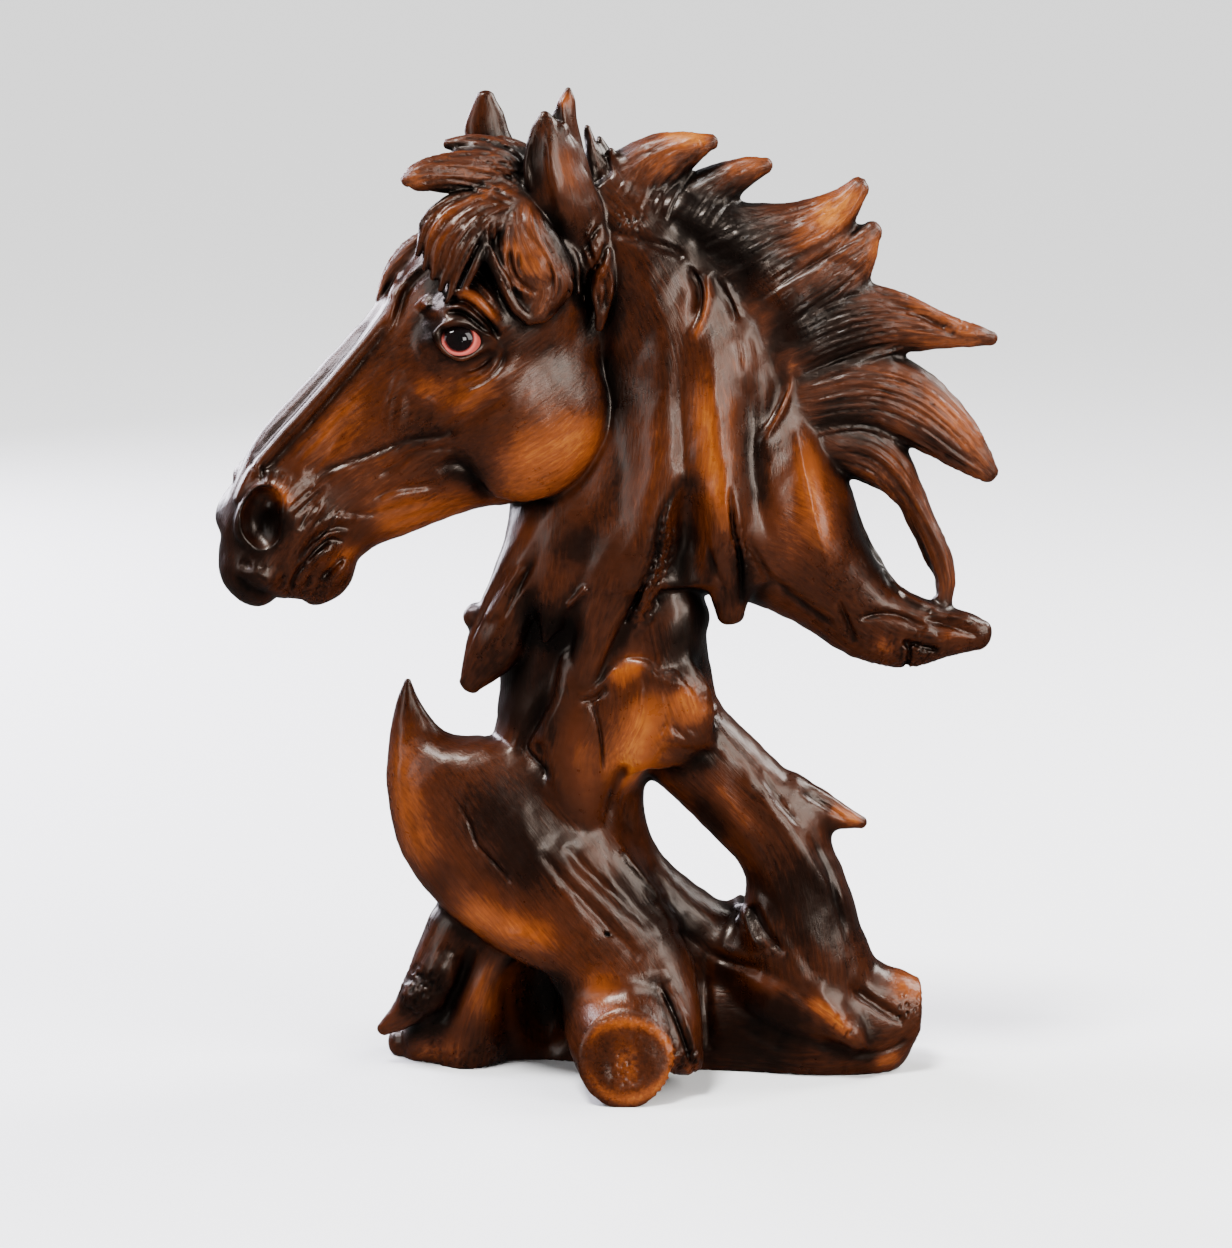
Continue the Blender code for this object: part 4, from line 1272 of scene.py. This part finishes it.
def sculpted_skin():
    """Samples the field finely near the surface only, and returns its points and quads."""
    low = np.array([CAD_BOX[0][axis] / GRID - ROOM for axis in range(3)])
    high = np.array([CAD_BOX[1][axis] / GRID + ROOM for axis in range(3)])
    spacing = COARSE * FINE
    most = 3 * FINE
    shape = np.ceil((high - low) / spacing).astype(int)
    cells = np.stack(np.meshgrid(*[np.arange(n) for n in shape], indexing="ij"), axis=-1).reshape(-1, 3)
    values = sculpt(low + (cells + 0.5) * spacing)["distance"]
    dense = np.clip(values, -most, most).astype(np.float32).reshape(shape)
    for axis in range(3):
        dense = np.repeat(dense, COARSE, axis)
    corners = np.stack(np.meshgrid((0, 1), (0, 1), (0, 1), indexing="ij"), axis=-1).reshape(-1, 3)
    for reach, size in CLOSER:
        near = cells[np.abs(values) < reach]
        cells = (2 * near[:, None, :] + corners[None, :, :]).reshape(-1, 3)
        spacing = spacing / 2
        values = sculpt(low + (cells + 0.5) * spacing)["distance"]
        for corner in corners if size == 2 else corners[:1]:
            spot = cells * size + corner
            dense[spot[:, 0], spot[:, 1], spot[:, 2]] = np.clip(values, -most, most)
    grid = openvdb.FloatGrid(most)
    grid.copyFromArray(dense)
    points, _, quads = grid.convertToPolygons(isovalue=0.0, adaptivity=0.0)
    return low + (np.asarray(points, dtype=np.float64) + 0.5) * FINE, np.asarray(quads)


def skin_mesh(name, points, quads):
    mesh = bpy.data.meshes.new(name)
    mesh.vertices.add(len(points))
    mesh.vertices.foreach_set("co", (points * GRID).astype(np.float32).ravel())
    mesh.loops.add(4 * len(quads))
    mesh.loops.foreach_set("vertex_index", quads.astype(np.int32).ravel())
    mesh.polygons.add(len(quads))
    mesh.polygons.foreach_set("loop_start", np.arange(0, 4 * len(quads), 4, dtype=np.int32))
    mesh.update(calc_edges=True)
    mesh.validate()
    return mesh


def edge_ends(mesh):
    ends = np.zeros(2 * len(mesh.edges), dtype=np.int32)
    mesh.edges.foreach_get("vertices", ends)
    return ends.reshape(-1, 2).T


def evened(values, one, two, share):
    """The values, each drawn towards the mean of those next to it."""
    sums = np.zeros(values.shape)
    np.add.at(sums, one, values[two])
    np.add.at(sums, two, values[one])
    near = np.maximum(np.bincount(one, minlength=len(values)) + np.bincount(two, minlength=len(values)), 1)
    return values * (1 - share) + sums / near[:, None] * share


def places_and_normals(mesh):
    places = np.zeros(3 * len(mesh.vertices), dtype=np.float32)
    normals = np.zeros(3 * len(mesh.vertices), dtype=np.float32)
    mesh.vertices.foreach_get("co", places)
    mesh.vertex_normals.foreach_get("vector", normals)
    normals = normals.reshape(-1, 3).astype(float)
    one, two = edge_ends(mesh)
    for _ in range(2):
        normals = evened(normals, one, two, NORMAL_SHARE)
    return places.reshape(-1, 3).astype(float) / GRID, unit(normals + 1e-9)


def settle(mesh):
    """Spreads the points evenly over the skin and sets them down on it again."""
    places, normals = places_and_normals(mesh)
    one, two = edge_ends(mesh)
    places = evened(places, one, two, PLACE_SHARE)
    off = np.clip(sculpt(places)["distance"], -MOST_SETTLED, MOST_SETTLED)
    places = places - off[:, None] * normals
    mesh.vertices.foreach_set("co", (places * GRID).astype(np.float32).ravel())
    mesh.update()


def calmness(mesh, places, flow):
    """One for each point, down to nothing where the grain of one mass meets that of another."""
    one, two = edge_ends(mesh)
    reach = np.linalg.norm(places[one] - places[two], axis=1)
    jumps = np.linalg.norm(flow[one] - flow[two], axis=1) > JUMP * (reach + 1)
    calm = np.ones(len(places))
    calm[one[jumps]] = 0
    calm[two[jumps]] = 0
    for _ in range(2):
        before = calm.copy()
        np.minimum.at(calm, one, before[two] + 0.5)
        np.minimum.at(calm, two, before[one] + 0.5)
    return calm


def paint(mesh):
    """Stores how open and how raised each point is, which the lacquer turns into painted shade in hollows,
    how light its tone patches make it, with painted shade and highlights among them, and which way the
    grain runs there.
    """
    count = len(mesh.vertices)
    places, normals = places_and_normals(mesh)
    clay = sculpt(places, tracked=True)
    # Openness near and further off, which the lacquer turns into painted shade in hollows and between parts
    close_shade = sculpt(places + CLOSE_SHADE_REACH * normals)["distance"] / CLOSE_SHADE_REACH
    wide = sculpt(places + WIDE_SHADE_REACH * normals)["distance"] / WIDE_SHADE_REACH
    calm = calmness(mesh, places, clay["flow"][:, :3])
    tone = np.zeros(count)
    everywhere = np.ones(count, dtype=bool)
    # Tone patches: the lacquer's own lighter and darker tones, with painted shade and painted light among
    # them
    for view, tones in (("head", HEAD_TONES_AND_PAINTED_SHADING), ("body", BODY_TONES_AND_PAINTED_SHADING)):
        u, v, fade = clay[view]
        for patch in tones:
            index, share = line_share(u, v, patch, everywhere)
            tone[index] += patch[1] * share
    for name, values in (("close_shade", close_shade), ("wide", wide), ("tone", tone), ("calm", calm),
                         ("hair", clay["flow"][:, 3])):
        stored = mesh.attributes.new(name, "FLOAT", "POINT")
        stored.data.foreach_set("value", np.clip(values, -1, 1).astype(np.float32))
    flow = mesh.attributes.new("flow", "FLOAT_VECTOR", "POINT")
    flow.data.foreach_set("vector", (clay["flow"][:, :3] * GRID).astype(np.float32).ravel())


def make_statue():
    points, quads = sculpted_skin()
    mesh = skin_mesh("statue", points, quads)
    statue = add_object("statue", mesh)
    shape = bmesh.new()
    shape.from_mesh(mesh)
    bmesh.ops.recalc_face_normals(shape, faces=shape.faces)
    shape.to_mesh(mesh)
    shape.free()
    fewer = statue.modifiers.new("Fewer faces", "DECIMATE")
    fewer.ratio = min(1.0, MOST_TRIANGLES / (2 * len(quads)))
    graph = bpy.context.evaluated_depsgraph_get()
    lean = bpy.data.meshes.new_from_object(statue.evaluated_get(graph))
    statue.modifiers.clear()
    statue.data = lean
    lean.polygons.foreach_set("use_smooth", np.ones(len(lean.polygons), dtype=bool))
    settle(lean)
    paint(lean)
    return statue


# Finish

def new_material(name):
    """A new material, its node tree and its shader."""
    material = bpy.data.materials.new(name)
    material.use_nodes = True
    return material, material.node_tree, material.node_tree.nodes["Principled BSDF"]


def set_inputs(node, values):
    for name, value in values.items():
        node.inputs[name].default_value = value


def add_node(tree, kind, **settings):
    node = tree.nodes.new(kind)
    for name, value in settings.items():
        setattr(node, name, value)
    return node


def colour_ramp(tree, stops, share):
    ramp = add_node(tree, "ShaderNodeValToRGB")
    while len(ramp.color_ramp.elements) < len(stops):
        ramp.color_ramp.elements.new(0.5)
    for element, (spot, colour) in zip(ramp.color_ramp.elements, stops):
        element.position = spot
        element.color = (*colour, 1)
    tree.links.new(share, ramp.inputs["Fac"])
    return ramp.outputs["Color"]


def lacquer():
    material, tree, shader = new_material("lacquered_resin")
    link = tree.links.new

    def attribute(name):
        return add_node(tree, "ShaderNodeAttribute", attribute_name=name)

    def sum_of(kind, one, two):
        node = add_node(tree, "ShaderNodeMath", operation=kind)
        for slot, value in enumerate((one, two)):
            if isinstance(value, (int, float)):
                node.inputs[slot].default_value = value
            else:
                link(value, node.inputs[slot])
        return node.outputs[0]

    def noise(vector, scale, detail, rough, stretch=None):
        node = add_node(tree, "ShaderNodeTexNoise")
        set_inputs(node, {"Scale": scale, "Detail": detail, "Roughness": rough})
        if stretch:
            mapping = add_node(tree, "ShaderNodeMapping")
            set_inputs(mapping, {"Scale": stretch})
            link(vector, mapping.inputs["Vector"])
            vector = mapping.outputs[0]
        link(vector, node.inputs["Vector"])
        return node.outputs["Fac"]

    place = add_node(tree, "ShaderNodeTexCoord").outputs["Object"]
    flow = attribute("flow").outputs["Vector"]
    close_shade, wide, tone, hair, calm = (
        attribute(name).outputs["Fac"] for name in ("close_shade", "wide", "tone", "hair", "calm")
    )
    grain = sum_of("SUBTRACT", noise(flow, *GRAIN), 0.5)
    grain = sum_of("MULTIPLY", grain, calm)
    strands = sum_of("MULTIPLY", noise(flow, *STRANDS), hair)
    strands = sum_of("MULTIPLY", strands, calm)
    clouds = noise(place, *CLOUDS)
    speckle = noise(place, *SPECKLE)

    # The lightness that picks the colour: tone patches, painted shade from the openness near and further
    # off, and grain, clouds, speckle and strands
    light = BASE_LIGHT
    for share, middle, weight in ((tone, 0, 0.45), (close_shade, 0.8, 0.55), (wide, 0.8, 0.30),
                                  (grain, 0, 0.42), (clouds, 0.5, 0.35), (speckle, 0.5, 0.10),
                                  (strands, 0, 0.30)):
        light = sum_of("ADD", light, sum_of("MULTIPLY", sum_of("SUBTRACT", share, middle), weight))
    link(colour_ramp(tree, LACQUER_STOPS, light), shader.inputs["Base Color"])
    rough = BASE_ROUGHNESS
    for share, weight in ((clouds, 0.22), (speckle, 0.16), (hair, 0.13)):
        rough = sum_of("ADD", rough, sum_of("MULTIPLY", share, weight))
    link(rough, shader.inputs["Roughness"])
    set_inputs(shader, LACQUER_FINISH)
    bump = add_node(tree, "ShaderNodeBump")
    set_inputs(bump, BUMP)
    relief = sum_of("ADD", sum_of("MULTIPLY", grain, 0.5), sum_of("MULTIPLY", strands, 1.6))
    link(sum_of("ADD", relief, sum_of("MULTIPLY", speckle, 0.25)), bump.inputs["Height"])
    link(bump.outputs["Normal"], shader.inputs["Normal"])
    return material


def eye_gloss():
    """A black iris in a pink rim, under clear gloss. The ball's own Z axis looks outwards."""
    material, tree, shader = new_material("painted_eye")
    away = add_node(tree, "ShaderNodeAttribute", attribute_name="away")
    tree.links.new(colour_ramp(tree, EYE_STOPS, away.outputs["Fac"]), shader.inputs["Base Color"])
    set_inputs(shader, EYE_FINISH)
    return material


def make_floor():
    bpy.ops.mesh.primitive_plane_add(size=FLOOR_SIZE, location=(0, 0, 0))
    floor = bpy.context.object
    floor.name = "floor"
    floor.visible_glossy = False
    material, _, shader = new_material("pale_floor")
    set_inputs(shader, FLOOR_FINISH)
    floor.data.materials.append(material)


def aimed(way):
    return Vector(way).to_track_quat("-Z", "Y").to_euler()


def make_light():
    sun = bpy.data.lights.new("key", "SUN")
    sun.energy = SUN_POWER
    sun.angle = SUN_WIDTH
    add_object("key", sun).rotation_euler = aimed(SUN_WAY)
    for name, place, size, power, colour in SOFTBOXES:
        data = bpy.data.lights.new(name, "AREA")
        data.shape = "RECTANGLE"
        data.size, data.size_y = size
        data.energy = power
        data.color = colour
        lamp = add_object(name, data)
        lamp.location = place
        lamp.rotation_euler = aimed(Vector(LIT_POINT) - Vector(place))
    world = bpy.data.worlds.new("studio")
    world.use_nodes = True
    set_inputs(world.node_tree.nodes["Background"], WORLD_LIGHT)
    bpy.context.scene.world = world


def make_camera():
    data = bpy.data.cameras.new("camera")
    camera = add_object("camera", data)
    data.sensor_fit = "HORIZONTAL"
    data.lens = data.sensor_width * EYE_DISTANCE / FRAME_WIDTH
    camera.location = Vector(EYE * GRID)
    camera.rotation_euler = (math.pi / 2 - LOOK_DOWN, 0, 0)
    bpy.context.scene.camera = camera


def make_eye(name, near):
    bpy.ops.mesh.primitive_uv_sphere_add(segments=96, ring_count=64)
    ball = bpy.context.object
    ball.name = name
    axes = head_axes(*BALL_AXES, slope=0) * GRID
    centre = seen_on_head(EYE_U, EYE_V, EYE_SIDE - BALL_DEPTH)
    if not near:
        axes, centre = axes @ HEAD_MIRROR, across_head(centre)
    turn = Matrix(axes.T.tolist()).to_4x4()
    turn.translation = centre * GRID
    spots = np.array([vertex.co for vertex in ball.data.vertices])
    away = np.hypot(spots[:, 0] * BALL_AXES[0] - IRIS_SHIFT[0], spots[:, 1] * BALL_AXES[1] - IRIS_SHIFT[1])
    away = np.where(spots[:, 2] > 0, away / IRIS_REACH, 1)
    ball.data.attributes.new("away", "FLOAT", "POINT").data.foreach_set("value", away)
    ball.data.transform(turn)
    ball.data.polygons.foreach_set("use_smooth", np.ones(len(ball.data.polygons), dtype=bool))
    return ball


EYE_SIDE = skin_side(EYE_U, EYE_V)
make_camera()
statue = make_statue()
skin_paint = lacquer()
eye_paint = eye_gloss()
near_eye = make_eye("eye_near", True)
far_eye = make_eye("eye_far", False)
for piece, material in ((statue, skin_paint), (near_eye, eye_paint), (far_eye, eye_paint)):
    piece.data.materials.clear()
    piece.data.materials.append(material)
    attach(piece, "root")
    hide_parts("horse_head_statue")
make_floor()
make_light()
